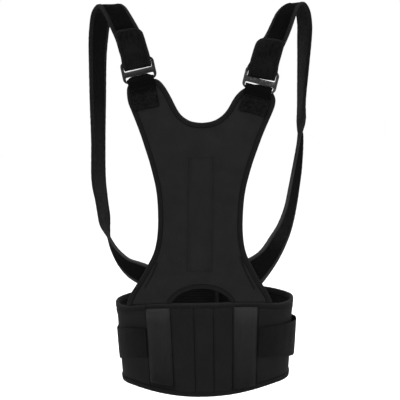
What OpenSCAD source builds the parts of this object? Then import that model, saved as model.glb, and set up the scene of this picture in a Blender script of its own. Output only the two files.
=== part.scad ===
// Full-back posture brace: a padded back panel with two shoulder straps on slide buckles,
// sewn to a waist belt that opens at the front and has two elastic side straps.
// The wearer's back faces -Y, their left hand is at -X, and +Z is up.
// The origin is the middle of the waist ring, half way up the belt.

/* [Belt] */
// Half width of the waist ring, from the middle to one side
ring_half_w = 155; // [150:1:156]
// Half depth of the waist ring, from the middle to the back
ring_half_d = 106; // [103:1:109]
// How much the ring narrows towards its lower edge
side_taper = 0.06; // [0.05:0.01:0.09]
// Slope of the belt from side to side
belt_roll = 0.026; // [0:0.002:0.03]
// How far the belt leans to the right, per mm down
belt_lean = 0.015; // [0:0.005:0.03]
// Height of the binding tape on the belt's edges
tape_h = 3; // [2:0.5:4]
// Distance from the middle to the edge of the belt's back piece
seam_x = 95; // [94:1:97]
// Distance from the middle to the inner edge of a stay pocket
pocket_x0 = 53; // [50:1:55]
// Distance from the middle to the outer edge of a stay pocket
pocket_x1 = 92; // [90:1:92]

/* [Panel] */
// Thickness of the panel's outer layer
panel_t = 3; // [2:0.5:3]
// Thickness of the panel's lining
lining_t = 2; // [1.5:0.5:2]
// Height of the arched cut-out above the belt
arch_h = 26; // [20:1:30]
// Half width of the arched cut-out
arch_half_w = 50; // [44:1:54]
// Half width of the spine channel
spine_half_w = 20.5; // [16:1:22]

/* [Straps] */
// Thickness of a shoulder strap
strap_t = 4; // [3:0.5:4]
// Thickness of a folded strap tab
tab_t = 3; // [2:0.5:3]
// Width of the webbing loop
webbing_w = 44; // [38:1:46]

/* [Buckles] */
// Width of a buckle
buckle_w = 57; // [56:1:60]
// Thickness of a buckle's frame
buckle_t = 4; // [3:0.5:4.5]
// Radius of a buckle's round bars
bar_r = 2.2; // [2:0.1:2.4]

/* [Hidden] */
$fn = 48;
ring_power = 2.3;
gap = 0.3;
bottom_z = -72;
top_z = 70;

// Colours
knit = "#2a2a2a";
satin = "#3c3c3c";
velour = "#151515";
tape = "#202020";
moulded = "#3a3a3a";
steel = "#9a9a9a";

// Easing between knots [x, value], level at each knot.
function ease(k) = k <= 0 ? 0 : k >= 1 ? 1 : k * k * (3 - 2 * k);
function between(a, b, k) = a + (b - a) * k;
function eased(x, knots, i = 0) =
    i >= len(knots) - 2 || x <= knots[i + 1][0]
    ? between(knots[i][1], knots[i + 1][1], ease((x - knots[i][0]) / (knots[i + 1][0] - knots[i][0])))
    : eased(x, knots, i + 1);
function steps(a, b, n) = [for (i = [0 : n]) a + (b - a) * i / n];
function unit(v) = v / norm(v);

// The waist ring. Its angle t runs from the middle of the back towards +X.
function ring_angle(x) = sign(x) * asin(pow(abs(x) / ring_half_w, ring_power / 2));
function rounded_share(s) = sign(s) * pow(abs(s), 2 / ring_power);
function ring_at(t) = [ring_half_w * rounded_share(sin(t)), -ring_half_d * rounded_share(cos(t))];
function ring_out(t) = let (d = ring_at(t + 0.1) - ring_at(t - 0.1)) unit([d.y, -d.x]);
function taper(z) = 1 - side_taper * (top_z - z) / (top_z - bottom_z);
function belt_point(t, z, off) =
    let (p = ring_at(t) + off * ring_out(t)) [p.x * taper(z) + belt_lean * (top_z - z), p.y, z];
function folded(t) = abs(t) > 180 ? 360 - abs(t) : abs(t);
function belt_top(t) =
    eased(folded(t), [[0, 76], [20, 76], [62, 66], [100, 68], [180, 76]]) + belt_roll * ring_at(t).x;
function belt_bottom(t) =
    eased(folded(t), [[0, -83], [58, -71], [180, -76]])
    + belt_roll * ring_at(t).x;

// The back surface that the panel follows, as a depth at x and z.
function back_y(x, z) =
    let (k = ease((z - 76) / 140), top = ease((z - 370) / 70))
    -eased(z, [[76, 106], [200, 99], [330, 105], [450, 92]])
    + between(between(0.00128, 0.0010, k), 0.0002, top) * x * x
    + between(0.69e-7, 0, k) * pow(x, 4);
function back_out(x, z) =
    unit([back_y(x + 0.5, z) - back_y(x - 0.5, z), -1, back_y(x, z + 0.5) - back_y(x, z - 0.5)]);
function back_point(x, z, off) = [x, back_y(x, z), z] + off * back_out(x, z);

// The panel's outline: half widths by height, its leaning middle line, and the heights of
// its top and bottom edges by the share f of the half width, from -1 at the left to 1.
half_widths = [
    [70, 124], [90, 115], [107, 104.5], [120, 96.5], [141, 85.5], [152, 79.8], [165, 75.3],
    [181, 72.3], [200, 70.8], [213, 70.7], [233, 71.2], [253, 72.6], [273, 75.8], [293, 80.8],
    [313, 86.4], [333, 93.2], [353, 100.2], [373, 108.3], [393, 116.8], [405, 121.5],
    [413, 123.2], [433, 123.4], [450, 122],
];
top_heights = [
    [-1, 434], [-0.97, 443], [-0.93, 447], [-0.86, 449], [-0.66, 450], [-0.6, 448.5],
    [-0.562, 446.5], [-0.519, 441], [-0.475, 434.6], [-0.434, 426], [-0.398, 416.7],
    [-0.369, 406.5], [-0.341, 397], [-0.305, 389.6], [-0.265, 385], [-0.2, 380], [-0.136, 377.3],
    [0, 375.4], [0.136, 377.3], [0.22, 380.8], [0.299, 387.8], [0.335, 393.2], [0.369, 400.3],
    [0.406, 409.8], [0.449, 418.1], [0.493, 424.1], [0.533, 428.8], [0.58, 433], [0.66, 436.5],
    [0.865, 435], [0.93, 432], [0.965, 427], [1, 417],
];
function half_width(z) = lookup(z, half_widths);
function middle_x(z) = -4 + (z - 107) / 70 - 2.5 * ease((z - 395) / 35);
function edge_top(f) = lookup(f, top_heights);
function top_tape(f) =
    tape_h * min(3, norm([1, (edge_top(f + 0.02) - edge_top(f - 0.02)) / (0.04 * half_width(420))]));
arch_x = -1;
flare_gap = 1.5;
function arch_share(x) = abs(x - arch_x) / arch_half_w;
function arch_z(x) = arch_share(x) >= 1 ? 0 : arch_h * pow(1 - pow(arch_share(x), 2), 0.65);
function edge_bottom(f) =
    let (x = middle_x(76) + f * half_width(76))
    belt_top(ring_angle(x)) + arch_z(x) + flare_gap * ease((abs(x) - 86) / 7);
function panel_x(f, z) = middle_x(z) + f * (half_width(z) - tape_h);
function in_arch(f) = arch_z(middle_x(76) + f * half_width(76)) > 0 ? 1 : 0;
arch_f0 = (arch_x - arch_half_w - middle_x(76)) / half_width(76);
arch_f1 = (arch_x + arch_half_w - middle_x(76)) / half_width(76);
plain_shares = [
    -1, -0.97, -0.93, -0.86, -0.75, -0.66, -0.6, -0.562, -0.519, -0.475, -0.434, -0.398, -0.369,
    -0.341, -0.305, -0.265, -0.2, -0.136, -0.07, 0, 0.07, 0.136, 0.22, 0.299, 0.335, 0.369, 0.406,
    0.449, 0.493, 0.533, 0.58, 0.66, 0.75, 0.865, 0.93, 0.965, 1,
];
function sorted(v) =
    len(v) < 2 ? v
    : let (p = v[floor(len(v) / 2)])
      concat(sorted([for (x = v) if (x < p) x]), [p], sorted([for (x = v) if (x > p) x]));
shares = sorted(concat(
    [for (f = plain_shares) if (min(abs(f - arch_f0), abs(f - arch_f1)) > 0.008) f],
    [arch_f0, arch_f1]));

// A closed solid between two skins. point(u, v, side) gives a place on the inner skin at
// side 0 and on the outer skin at side 1. u runs to the right seen from outside, v runs up.
module skin(point, us, vs) {
    nu = len(us);
    nv = len(vs);
    points = [for (side = [0, 1]) for (u = us) for (v = vs) point(u, v, side)];
    function id(side, i, j) = side * nu * nv + i * nv + j;
    function quad(a, b, c, d) = [[a, b, c], [a, c, d]];
    faces = [
        for (i = [0 : nu - 2])
            for (j = [0 : nv - 2])
                each concat(
                    quad(id(1, i, j), id(1, i, j + 1), id(1, i + 1, j + 1), id(1, i + 1, j)),
                    quad(id(0, i, j), id(0, i + 1, j), id(0, i + 1, j + 1), id(0, i, j + 1))),
        for (j = [0 : nv - 2])
            each concat(
                quad(id(0, 0, j), id(0, 0, j + 1), id(1, 0, j + 1), id(1, 0, j)),
                quad(id(0, nu - 1, j), id(1, nu - 1, j), id(1, nu - 1, j + 1), id(0, nu - 1, j + 1))),
        for (i = [0 : nu - 2])
            each concat(
                quad(id(0, i, 0), id(1, i, 0), id(1, i + 1, 0), id(0, i + 1, 0)),
                quad(id(0, i, nv - 1), id(0, i + 1, nv - 1), id(1, i + 1, nv - 1), id(1, i, nv - 1))),
    ];
    polyhedron(points, faces);
}

// Panel layers
module panel_layer(inner, outer) {
    place = function (f, k, side)
        let (low = edge_bottom(f) + in_arch(f) * tape_h,
             z = between(low, edge_top(f) - top_tape(f), k))
        back_point(panel_x(f, z), z, side == 0 ? inner : outer);
    skin(place, shares, steps(0, 1, 14));
}

module back_panel() {
    color(knit) panel_layer(panel_t / -2 + 1, panel_t / 2 + 1);
}

module panel_lining() {
    color(velour) panel_layer(-0.5 - lining_t, -0.5);
}

bind_out = 3.2;
bind_in = -3.2;

module edge_binding(side_f) {
    place = function (u, k, side)
        let (z = between(edge_bottom(side_f), edge_top(side_f), k),
             x = middle_x(z) + side_f * (half_width(z) - tape_h * (side_f < 0 ? u : 1 - u)))
        back_point(x, z, side == 0 ? bind_in : bind_out);
    skin(place, [0, 1], steps(0, 1, 24));
}

module left_edge_binding() {
    color(tape) edge_binding(-1);
}

module right_edge_binding() {
    color(tape) edge_binding(1);
}

module neck_binding() {
    place = function (f, k, side)
        let (z = edge_top(f) - top_tape(f) * (1 - k))
        back_point(panel_x(f, z), z, side == 0 ? bind_in : bind_out);
    color(tape) skin(place, shares, [0, 1]);
}

module arch_binding() {
    place = function (f, k, side)
        let (z = edge_bottom(f) + tape_h * k)
        back_point(panel_x(f, z), z, side == 0 ? bind_in : bind_out);
    color(tape) skin(place, [for (f = shares) if (f >= arch_f0 && f <= arch_f1) f], [0, 1]);
}

// A cover that is sewn down along both long edges and stands up between them. rest is the
// surface it is sewn to, lift the room under it, and cover_t its thickness.
crown_shares = [0, 0.05, 0.1, 0.18, 0.5, 0.82, 0.9, 0.95, 1];
function crown(u) = 1 - pow(abs(2 * u - 1), 8);
function cover_off(u, side, rest, lift, cover_t) = rest + lift * crown(u) + side * cover_t;

spine_z0 = 128;
spine_z1 = 320;
panel_face = 2.5;

module spine_channel() {
    place = function (u, z, side)
        back_point(
            middle_x(z) + spine_half_w * (2 * u - 1), z, cover_off(u, side, panel_face, 1.8, 1));
    color(knit) skin(place, crown_shares, steps(spine_z0, spine_z1, 12));
}

module spine_stays() {
    for (x = [-7, 7])
        color(steel) skin(
            function (u, z, side) back_point(middle_x(z) + x + 5 * u, z, 2.8 + 1.2 * side),
            [-1, 1], steps(spine_z0 + 8, spine_z1 - 8, 10));
}

// Belt layers. t0 and t1 are ring angles; wall(t) is how far the piece is set inwards.
flush = function (t) 0;
module belt_layer(t0, t1, n, inner, outer, low, high, wall) {
    place = function (t, k, side)
        belt_point(t, between(low(t), high(t), k), wall(t) + (side == 0 ? inner : outer));
    skin(place, steps(t0, t1, n), [0, 1]);
}

seam_t = ring_angle(seam_x);
back_t = ring_angle(seam_x - 1.5);
wing_t = ring_angle(seam_x + 1.5);
body_low = function (t) belt_bottom(t) + tape_h;
body_high = function (t) belt_top(t) - tape_h;
top_edge = function (t) belt_top(t);
bottom_edge = function (t) belt_bottom(t);
cloth_out = 2;
layer_join = -0.5;
cloth_in = -2;
tape_off = 3;

module belt_back() {
    color(knit) belt_layer(-back_t, back_t, 20, layer_join, cloth_out, body_low, body_high, flush);
}

module belt_lining() {
    color(velour) belt_layer(-back_t, back_t, 20, cloth_in, layer_join, body_low, body_high, flush);
}

module belt_top_binding() {
    color(tape) belt_layer(-back_t, back_t, 20, -tape_off, tape_off, body_high, top_edge, flush);
}

module belt_bottom_binding() {
    color(tape) belt_layer(-back_t, back_t, 20, -tape_off, tape_off, bottom_edge, body_low, flush);
}

// Pockets and channels on the back of the belt
module belt_cover(x0, x1, lift, cover_t) {
    t0 = ring_angle(x0);
    t1 = ring_angle(x1);
    place = function (u, k, side)
        let (t = between(t0, t1, u))
        belt_point(t, between(body_low(t), body_high(t), k),
                   cover_off(u, side, cloth_out, lift, cover_t));
    skin(place, crown_shares, [0, 1]);
}

pocket_lift = 2.9;
channel_lift = 1.4;
channel_xs = [-pocket_x0 + 0.5, -15, 16, pocket_x0 - 0.5];

module left_stay_pocket() {
    color(satin) belt_cover(-pocket_x1, -pocket_x0, pocket_lift, 1.2);
}

module right_stay_pocket() {
    color(satin) belt_cover(pocket_x0, pocket_x1, pocket_lift, 1.2);
}

module centre_channels() {
    for (i = [0 : 2])
        color(knit) belt_cover(channel_xs[i] + 0.5, channel_xs[i + 1] - 0.5, channel_lift, 0.8);
}

module belt_stay(x0, x1, z0, z1, inner, stay_t) {
    place = function (t, z, side) belt_point(t, z, inner + stay_t * side);
    color(steel) skin(place, steps(ring_angle(x0), ring_angle(x1), 4), [z0, z1]);
}

module centre_stays() {
    belt_stay(-42, -26, -62, 66, 2.1, 0.8);
    belt_stay(26, 42, -62, 66, 2.1, 0.8);
}

module left_belt_stay() {
    belt_stay(-85, -60, -58, 62, 3.35, 1.1);
}

module right_belt_stay() {
    belt_stay(60, 85, -58, 62, 3.35, 1.1);
}

// Wings. The left one runs inside the right one where they overlap at the front.
left_tip_t = -(180 + ring_angle(24));
right_tip_t = 180 + ring_angle(44);
pull_tip_t = 180 + ring_angle(60);
overlap_step = 8;
tuck = function (t) -overlap_step * ease((abs(t) - 118) / 34);

module wing_layer(t0, t1, inner, outer, low, high, wall) {
    belt_layer(t0, t1, 36, inner, outer, low, high, wall);
}

module left_wing() {
    color(knit) wing_layer(left_tip_t, -wing_t, layer_join, cloth_out, body_low, body_high, tuck);
}

module left_wing_lining() {
    color(velour) wing_layer(left_tip_t, -wing_t, cloth_in, layer_join, body_low, body_high, tuck);
}

module left_wing_bindings() {
    color(tape) {
        wing_layer(left_tip_t, -wing_t, -tape_off, tape_off, body_high, top_edge, tuck);
        wing_layer(left_tip_t, -wing_t, -tape_off, tape_off, bottom_edge, body_low, tuck);
    }
}

module right_wing() {
    color(knit) wing_layer(wing_t, right_tip_t, layer_join, cloth_out, body_low, body_high, flush);
}

module right_wing_lining() {
    color(velour) wing_layer(wing_t, right_tip_t, cloth_in, layer_join, body_low, body_high, flush);
}

module right_wing_bindings() {
    color(tape) {
        wing_layer(wing_t, right_tip_t, -tape_off, tape_off, body_high, top_edge, flush);
        wing_layer(wing_t, right_tip_t, -tape_off, tape_off, bottom_edge, body_low, flush);
    }
}

patch_low = function (t) -52;
patch_high = function (t) 50;

module front_loop_patch() {
    color(velour)
        belt_layer(left_tip_t + 1, -180 + ring_angle(38), 10, cloth_out, cloth_out + 1.1,
                   patch_low, patch_high, tuck);
}

module front_hook_patch() {
    color(velour)
        belt_layer(180 - ring_angle(22), right_tip_t - 1, 10, cloth_in - 1.1, cloth_in,
                   patch_low, patch_high, flush);
}

module pull_tab() {
    color(tape)
        belt_layer(right_tip_t, pull_tip_t, 4, -1, 1, function (t) -18, function (t) 22, flush);
}

// Elastic side straps, sewn at the pockets' outer edges and wrapped round the wings
strap_start_t = ring_angle(101);
function side_low(t) = t < 0 ? eased(-t, [[40, -20], [85, -38], [150, -36]])
                             : eased(t, [[40, -18], [85, -30], [150, -30]]);
function side_high(t) = t < 0 ? eased(-t, [[40, 29], [85, 16], [150, 18]])
                              : eased(t, [[40, 33], [85, 33], [150, 30]]);
side_low_edge = function (t) side_low(t);
side_high_edge = function (t) side_high(t);
stand_off = function (t) 6 * ease(1 - abs(t - 92) / 34);
side_in = cloth_out + 1.2;
side_out = side_in + 1.8;

module left_side_strap() {
    color(tape)
        belt_layer(-146, -strap_start_t, 24, side_in, side_out, side_low_edge, side_high_edge, tuck);
}

module left_side_hook_tab() {
    color(velour)
        belt_layer(-153, -146, 4, side_in, side_out,
                   function (t) side_low(t) + 4, function (t) side_high(t) - 4, tuck);
}

module right_side_strap() {
    color(tape)
        belt_layer(strap_start_t, 152, 30, side_in, side_out, side_low_edge, side_high_edge,
                   stand_off);
}

module right_side_hook_tab() {
    color(velour)
        belt_layer(152, 162, 4, side_in, side_out,
                   function (t) side_low(t) + 4, function (t) side_high(t) - 4, stand_off);
}

// Buckles. Each has its own frame: the origin is the middle of its lower bar, X runs along
// the bar, Z up the strap and Y towards the wearer.
bar_gap = 33.75;
buckle_lean = 7;
left_bar = [-101.2, -97.5, 446.3];
right_bar = [93.1, -97.5, 430.3];
left_roll = -13;
right_roll = 14;
rail_w = 4.6;

module at_buckle(bar, roll) {
    translate(bar) rotate([0, roll, 0]) rotate([-buckle_lean, 0, 0]) children();
}

module round_bar(r, length) {
    rotate([0, 90, 0]) cylinder(r = r, h = length, center = true);
}

module buckle() {
    inner_w = buckle_w - 2 * rail_w;
    color(moulded) {
        for (x = [-1, 1]) {
            translate([x * (buckle_w - rail_w) / 2, 0, bar_gap / 2])
                cube([rail_w, buckle_t, bar_gap], center = true);
            for (z = [0, bar_gap])
                translate([x * (buckle_w - rail_w) / 2, 0, z])
                    round_bar(buckle_t / 2, rail_w);
        }
        round_bar(bar_r, inner_w + 2);
        translate([0, 0, bar_gap]) round_bar(bar_r, inner_w + 2);
        translate([0, 0, 13.2]) cube([inner_w + 2, buckle_t - 1, 9], center = true);
    }
}

module left_buckle() {
    at_buckle(left_bar, left_roll) buckle();
}

module right_buckle() {
    at_buckle(right_bar, right_roll) buckle();
}

// Webbing loops: a U round the lower bar whose legs meet on the panel, and a stitched patch
// below it
loop_in = bar_r + 0.35;
webbing_t = 1.4;
loop_out = loop_in + webbing_t;
loop_leg = 9;
loop_end = 2.2;

// The loop's cross-section, as pairs of points [y, z] on its inner and outer side: up from
// the panel, over the bar, and down behind it.
loop_gap = 0.3;
loop_path = concat(
    [[[loop_end, -loop_leg], [loop_end - webbing_t, -loop_leg]]],
    [for (a = [180 : -22.5 : 0]) [loop_in * [cos(a), sin(a)], loop_out * [cos(a), sin(a)]]],
    [[[loop_end + loop_gap, -loop_leg], [loop_end + loop_gap + webbing_t, -loop_leg]]]);

module webbing_loop() {
    place = function (x, i, side) let (p = loop_path[i][side]) [x, p[0], p[1]];
    color(velour) skin(place, [-webbing_w / 2, webbing_w / 2], [for (i = [0 : len(loop_path) - 1]) i]);
}

module left_webbing_loop() {
    at_buckle(left_bar, left_roll) webbing_loop();
}

module right_webbing_loop() {
    at_buckle(right_bar, right_roll) webbing_loop();
}

// A flat patch on the panel: a rectangle that is turned by roll about the point [x, z].
module panel_patch(x, z, width, length, roll, inner, outer) {
    place = function (u, v, side)
        let (px = x + u * width * cos(roll) - v * length * sin(roll),
             pz = z + u * width * sin(roll) + v * length * cos(roll))
        back_point(px, pz, side == 0 ? inner : outer);
    skin(place, steps(-0.5, 0.5, 4), steps(-1, 0, 6));
}

module left_webbing_patch() {
    color(velour) panel_patch(-98.8, 436.8, webbing_w, 38, 11, panel_face, 5.4);
}

module right_webbing_patch() {
    color(velour) panel_patch(90.6, 421, webbing_w, 31, -15, panel_face, 5.4);
}

// Shoulder straps. A station is the strap's left and right edge, seen from behind, and the
// stations run from the buckle over the shoulder, down the chest, under the arm, and back
// to the panel's flare.
left_route = [
    [[-130, -88, 474], [-87, -88, 484]],
    [[-137, -88, 490], [-92, -88, 500]],
    [[-144, -83, 512], [-99, -84, 521]],
    [[-155, -72, 535], [-110, -72, 540]],
    [[-166, -58, 556], [-122, -50, 558]],
    [[-178, -40, 574], [-134, -26, 574]],
    [[-187, -19, 578], [-148, 3, 583]],
    [[-198, 1, 568], [-162, 27, 579]],
    [[-204, 16, 547], [-172, 46, 558]],
    [[-207, 25, 520], [-179, 60, 525]],
    [[-208, 32, 490], [-183, 68, 490]],
    [[-208, 39, 420], [-186, 78, 420]],
    [[-206, 40, 346], [-188, 80, 346]],
    [[-205, 33, 276], [-187, 74, 280]],
    [[-196, 20, 238], [-182, 64, 238]],
    [[-187, 6, 207], [-177, 50, 210]],
    [[-175, -9, 188], [-175, 34, 186]],
    [[-162, -28, 172], [-171, 14, 165]],
    [[-147, -50, 158.5], [-162, -10, 148]],
    [[-126, -70, 146], [-147, -36, 128]],
    [[-106, -80, 141.5], [-128, -60, 112]],
    [[-88, -84, 135], [-108, -74, 101]],
    [[-67, -91, 120], [-88, -86, 84]],
];
right_route = [
    [[80, -88, 468], [122.5, -88, 457.5]],
    [[85, -88, 485], [128, -88, 476]],
    [[93, -80, 504], [134, -87, 497]],
    [[105, -62, 522], [141, -84, 514]],
    [[114, -46, 541], [148, -73, 532]],
    [[124, -30, 562], [155, -61, 553]],
    [[136, -10, 576], [161, -46, 571]],
    [[149, 11, 583], [172, -27, 580]],
    [[160, 31, 575], [182, -8, 570]],
    [[165, 46, 555], [187, 8, 547]],
    [[166, 58, 530], [187, 19, 522]],
    [[167, 66, 490], [184, 26, 485]],
    [[168, 74, 424], [178, 31, 418]],
    [[170, 76, 382], [177, 32, 382]],
    [[176, 74, 350], [168, 30, 350]],
    [[174.5, 66, 300], [158, 22, 302]],
    [[169, 52, 258], [150, 10, 264]],
    [[163, 36, 224], [142, -6, 230]],
    [[155, 14, 192], [130, -24, 202]],
    [[144, -10, 165], [115, -44, 181]],
    [[128, -36, 137], [98, -64, 160]],
    [[106, -72, 110], [80, -82, 142]],
    [[84, -86, 88], [58, -91, 122]],
];
last_station = len(left_route) - 1;
fold_end = 3.2;
strap_from = 3.3;

// A smooth curve through one edge's stations, at the station number s.
function clamped(i) = max(0, min(last_station, i));
function edge_at(route, edge, s) =
    let (i = min(floor(s), last_station - 1), k = s - i,
         a = route[clamped(i - 1)][edge], b = route[i][edge],
         c = route[i + 1][edge], d = route[clamped(i + 2)][edge])
    (2 * b + (c - a) * k + (2 * a - 5 * b + 4 * c - d) * k * k
        + (3 * b - a - 3 * c + d) * k * k * k) / 2;
function strap_mid(route, s) = (edge_at(route, 0, s) + edge_at(route, 1, s)) / 2;
function strap_out(route, s) =
    let (across = edge_at(route, 1, s) - edge_at(route, 0, s),
         ahead = strap_mid(route, min(s + 0.05, last_station)) - strap_mid(route, max(s - 0.05, 0)))
    unit(cross(across, ahead));
function strap_point(route, u, s, off) =
    between(edge_at(route, 0, s), edge_at(route, 1, s), u) + off * strap_out(route, s);

edge_tape = 0.05;

module strap_run(route, u0, u1, s0, s1, n, inner, outer) {
    place = function (u, s, side) strap_point(route, u, s, side == 0 ? inner : outer);
    skin(place, [u0, u1], steps(s0, s1, n));
}

module shoulder_strap(route) {
    color(velour)
        strap_run(route, edge_tape, 1 - edge_tape, strap_from, last_station, 62,
                  strap_t / -2, strap_t / 2);
}

module strap_binding(route) {
    color(tape) {
        strap_run(route, 0, edge_tape, strap_from, last_station, 62, strap_t / -2, strap_t / 2);
        strap_run(route, 1 - edge_tape, 1, strap_from, last_station, 62, strap_t / -2, strap_t / 2);
    }
}

module left_shoulder_strap() {
    shoulder_strap(left_route);
}

module right_shoulder_strap() {
    shoulder_strap(right_route);
}

module left_strap_binding() {
    strap_binding(left_route);
}

module right_strap_binding() {
    strap_binding(right_route);
}

// The strap's end: its run behind the buckle, and the fold round the upper bar
fold_in = bar_r + 0.4;
fold_out = fold_in + strap_t - 0.5;
fold_w = 46.8;
fold_drop = 6.9;
fold_rise = 3;

module fold_outline(r, rise) {
    translate([fold_drop, 0]) circle(r = r);
    translate([0, -r]) square([fold_drop, 2 * r]);
    translate([-rise, 0]) square([rise + 1, r]);
}

module strap_fold(route, bar, roll) {
    color(velour) {
        strap_run(route, 0, 1, 0, fold_end, 10, strap_t / -2, strap_t / 2);
        at_buckle(bar, roll) translate([0, 0, bar_gap]) rotate([0, 90, 0])
            linear_extrude(fold_w, center = true)
                difference() {
                    fold_outline(fold_out, fold_rise);
                    fold_outline(fold_in, fold_rise + 1);
                    circle(r = fold_in);
                }
    }
}

module left_strap_fold() {
    strap_fold(left_route, left_bar, left_roll);
}

module right_strap_fold() {
    strap_fold(right_route, right_bar, right_roll);
}

// Folded tabs, which lie on the strap above the buckle and end in a round tip
tab_low = 0.12;
tab_high = 2.62;
tab_round = 0.5;
function tab_off(s) = strap_t / 2 + 1.1 + 5.5 * ease(1 - s / 1.3);
function tab_half(s) =
    s < tab_high - tab_round ? 0.52
    : 0.52 - 0.28 * (1 - sqrt(max(0, 1 - pow((s - tab_high + tab_round) / tab_round, 2))));
tab_stations = concat(steps(tab_low, tab_high - tab_round, 6), [2.3, 2.42, 2.52, 2.58, tab_high]);

module tab_layer(route, share, inner, outer) {
    place = function (u, s, side)
        strap_point(route, 0.5 + u * share * tab_half(s), s,
                    tab_off(s) + (side == 0 ? inner : outer));
    skin(place, [-1, 0, 1], tab_stations);
}

module left_strap_tab() {
    color(velour) tab_layer(left_route, 1, 0.5, tab_t);
}

module left_tab_hook() {
    color(tape) tab_layer(left_route, 0.8, 0, 0.45);
}

module right_strap_tab() {
    color(velour) tab_layer(right_route, 1, 0.5, tab_t);
}

module right_tab_hook() {
    color(tape) tab_layer(right_route, 0.8, 0, 0.45);
}

back_panel();
panel_lining();
left_edge_binding();
right_edge_binding();
neck_binding();
arch_binding();
spine_channel();
spine_stays();
belt_back();
belt_lining();
belt_top_binding();
belt_bottom_binding();
left_stay_pocket();
right_stay_pocket();
centre_channels();
centre_stays();
left_belt_stay();
right_belt_stay();
left_webbing_loop();
right_webbing_loop();
left_webbing_patch();
right_webbing_patch();
left_shoulder_strap();
right_shoulder_strap();
left_strap_binding();
right_strap_binding();
left_wing();
left_wing_lining();
left_wing_bindings();
front_loop_patch();
right_wing();
right_wing_lining();
right_wing_bindings();
front_hook_patch();
pull_tab();
left_side_strap();
left_side_hook_tab();
right_side_strap();
right_side_hook_tab();
left_buckle();
left_strap_fold();
right_buckle();
right_strap_fold();
left_strap_tab();
left_tab_hook();
right_strap_tab();
right_tab_hook();
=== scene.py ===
import bpy
import math
import numpy as np
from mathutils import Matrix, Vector


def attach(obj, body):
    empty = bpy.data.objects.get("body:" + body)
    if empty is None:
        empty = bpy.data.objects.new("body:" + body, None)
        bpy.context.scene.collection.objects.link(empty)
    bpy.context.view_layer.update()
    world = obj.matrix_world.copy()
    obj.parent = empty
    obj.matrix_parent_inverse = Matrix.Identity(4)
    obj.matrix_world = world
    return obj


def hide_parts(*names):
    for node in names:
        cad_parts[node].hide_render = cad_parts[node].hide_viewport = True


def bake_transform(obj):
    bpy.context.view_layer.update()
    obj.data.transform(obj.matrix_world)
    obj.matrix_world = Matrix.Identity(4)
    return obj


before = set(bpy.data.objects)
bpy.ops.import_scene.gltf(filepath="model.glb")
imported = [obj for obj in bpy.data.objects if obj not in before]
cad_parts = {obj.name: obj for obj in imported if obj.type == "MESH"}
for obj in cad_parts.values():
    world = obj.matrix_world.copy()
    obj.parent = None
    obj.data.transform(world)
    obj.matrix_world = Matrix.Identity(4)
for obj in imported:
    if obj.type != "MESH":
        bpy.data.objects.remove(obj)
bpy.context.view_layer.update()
scene = bpy.context.scene

# ---------------------------------------------------------------- shapes, in millimetres
RING_W, RING_D, POWER = 155.0, 106.0, 2.3
SIDE_TAPER, ROLL, BELT_LEAN = 0.06, 0.026, 0.015


def ease(k):
    """0 below 0, 1 above 1, and smooth between them."""
    k = np.clip(k, 0, 1)
    return k * k * (3 - 2 * k)


def eased(x, knots):
    """A value that eases from each knot to the next."""
    xs, ys = np.array(knots, float).T
    x = np.asarray(x, float)
    i = np.clip(np.searchsorted(xs, x, side="right") - 1, 0, len(xs) - 2)
    return ys[i] + (ys[i + 1] - ys[i]) * ease((x - xs[i]) / (xs[i + 1] - xs[i]))


def lookup(x, knots):
    xs, ys = np.array(knots, float).T
    return np.interp(x, xs, ys)


def unit(v):
    return v / np.maximum(np.linalg.norm(v, axis=-1, keepdims=True), 1e-9)


def ripple(u, v, size, seed):
    """Smooth, even waves of about this size, from -1 to 1."""
    rng = np.random.default_rng(seed)
    total = 0
    for _ in range(7):
        turn, phase = rng.uniform(0, 2 * math.pi, 2)
        wave = 2 * math.pi / (size * rng.uniform(0.6, 1.7))
        total = total + np.sin((u * math.cos(turn) + v * math.sin(turn)) * wave + phase)
    return total / 4.5


# The waist ring. s runs along it from the middle of the back, towards +X.
def ring_at(t):
    s, c = np.sin(np.radians(t)), np.cos(np.radians(t))
    return np.stack([RING_W * np.sign(s) * np.abs(s) ** (2 / POWER),
                     -RING_D * np.sign(c) * np.abs(c) ** (2 / POWER)], -1)


ANGLES = np.arange(-205, 205.01, 0.25)
STEPS = np.linalg.norm(np.diff(ring_at(ANGLES), axis=0), axis=-1)
ALONG = np.concatenate([[0], np.cumsum(STEPS)])
ALONG -= np.interp(0, ANGLES, ALONG)


def ring_angle(x):
    return np.sign(x) * np.degrees(np.arcsin((np.abs(x) / RING_W) ** (POWER / 2)))


def along(t):
    return float(np.interp(t, ANGLES, ALONG))


def at_x(x):
    return along(ring_angle(x))


def angle_of(s):
    return np.interp(s, ALONG, ANGLES)


def folded(t):
    return np.where(np.abs(t) > 180, 360 - np.abs(t), np.abs(t))


def belt_top(s):
    t = angle_of(s)
    return (eased(folded(t), [(0, 76), (20, 76), (62, 66), (100, 68), (180, 76)])
            + ROLL * ring_at(t)[..., 0])


def belt_low(s):
    t = angle_of(s)
    return (eased(folded(t), [(0, -83), (58, -71), (180, -76)])
            + ROLL * ring_at(t)[..., 0])


def belt(s, z, off=0.0, wall=None):
    t = angle_of(s)
    ahead = unit(ring_at(t + 0.4) - ring_at(t - 0.4))
    out = np.stack([ahead[..., 1], -ahead[..., 0]], -1)
    off = off + (wall(t) if wall else 0)
    flat = ring_at(t) + np.asarray(off)[..., None] * out
    narrow = 1 - SIDE_TAPER * (70 - z) / 142
    x = flat[..., 0] * narrow + BELT_LEAN * (70 - z)
    return np.stack(np.broadcast_arrays(x, flat[..., 1], z), -1)


def tuck(t):
    """How far the left wing lies inside the belt's line, under the right one in front."""
    return -8 * ease((np.abs(t) - 118) / 34)


def stand_off(t):
    """How far the right side strap stands off the wing, at the wearer's side."""
    return 6 * ease(1 - np.abs(t - 92) / 34)


def on_belt(wall=None):
    return lambda s, z, off=0.0: belt(s, z, off, wall)


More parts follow.
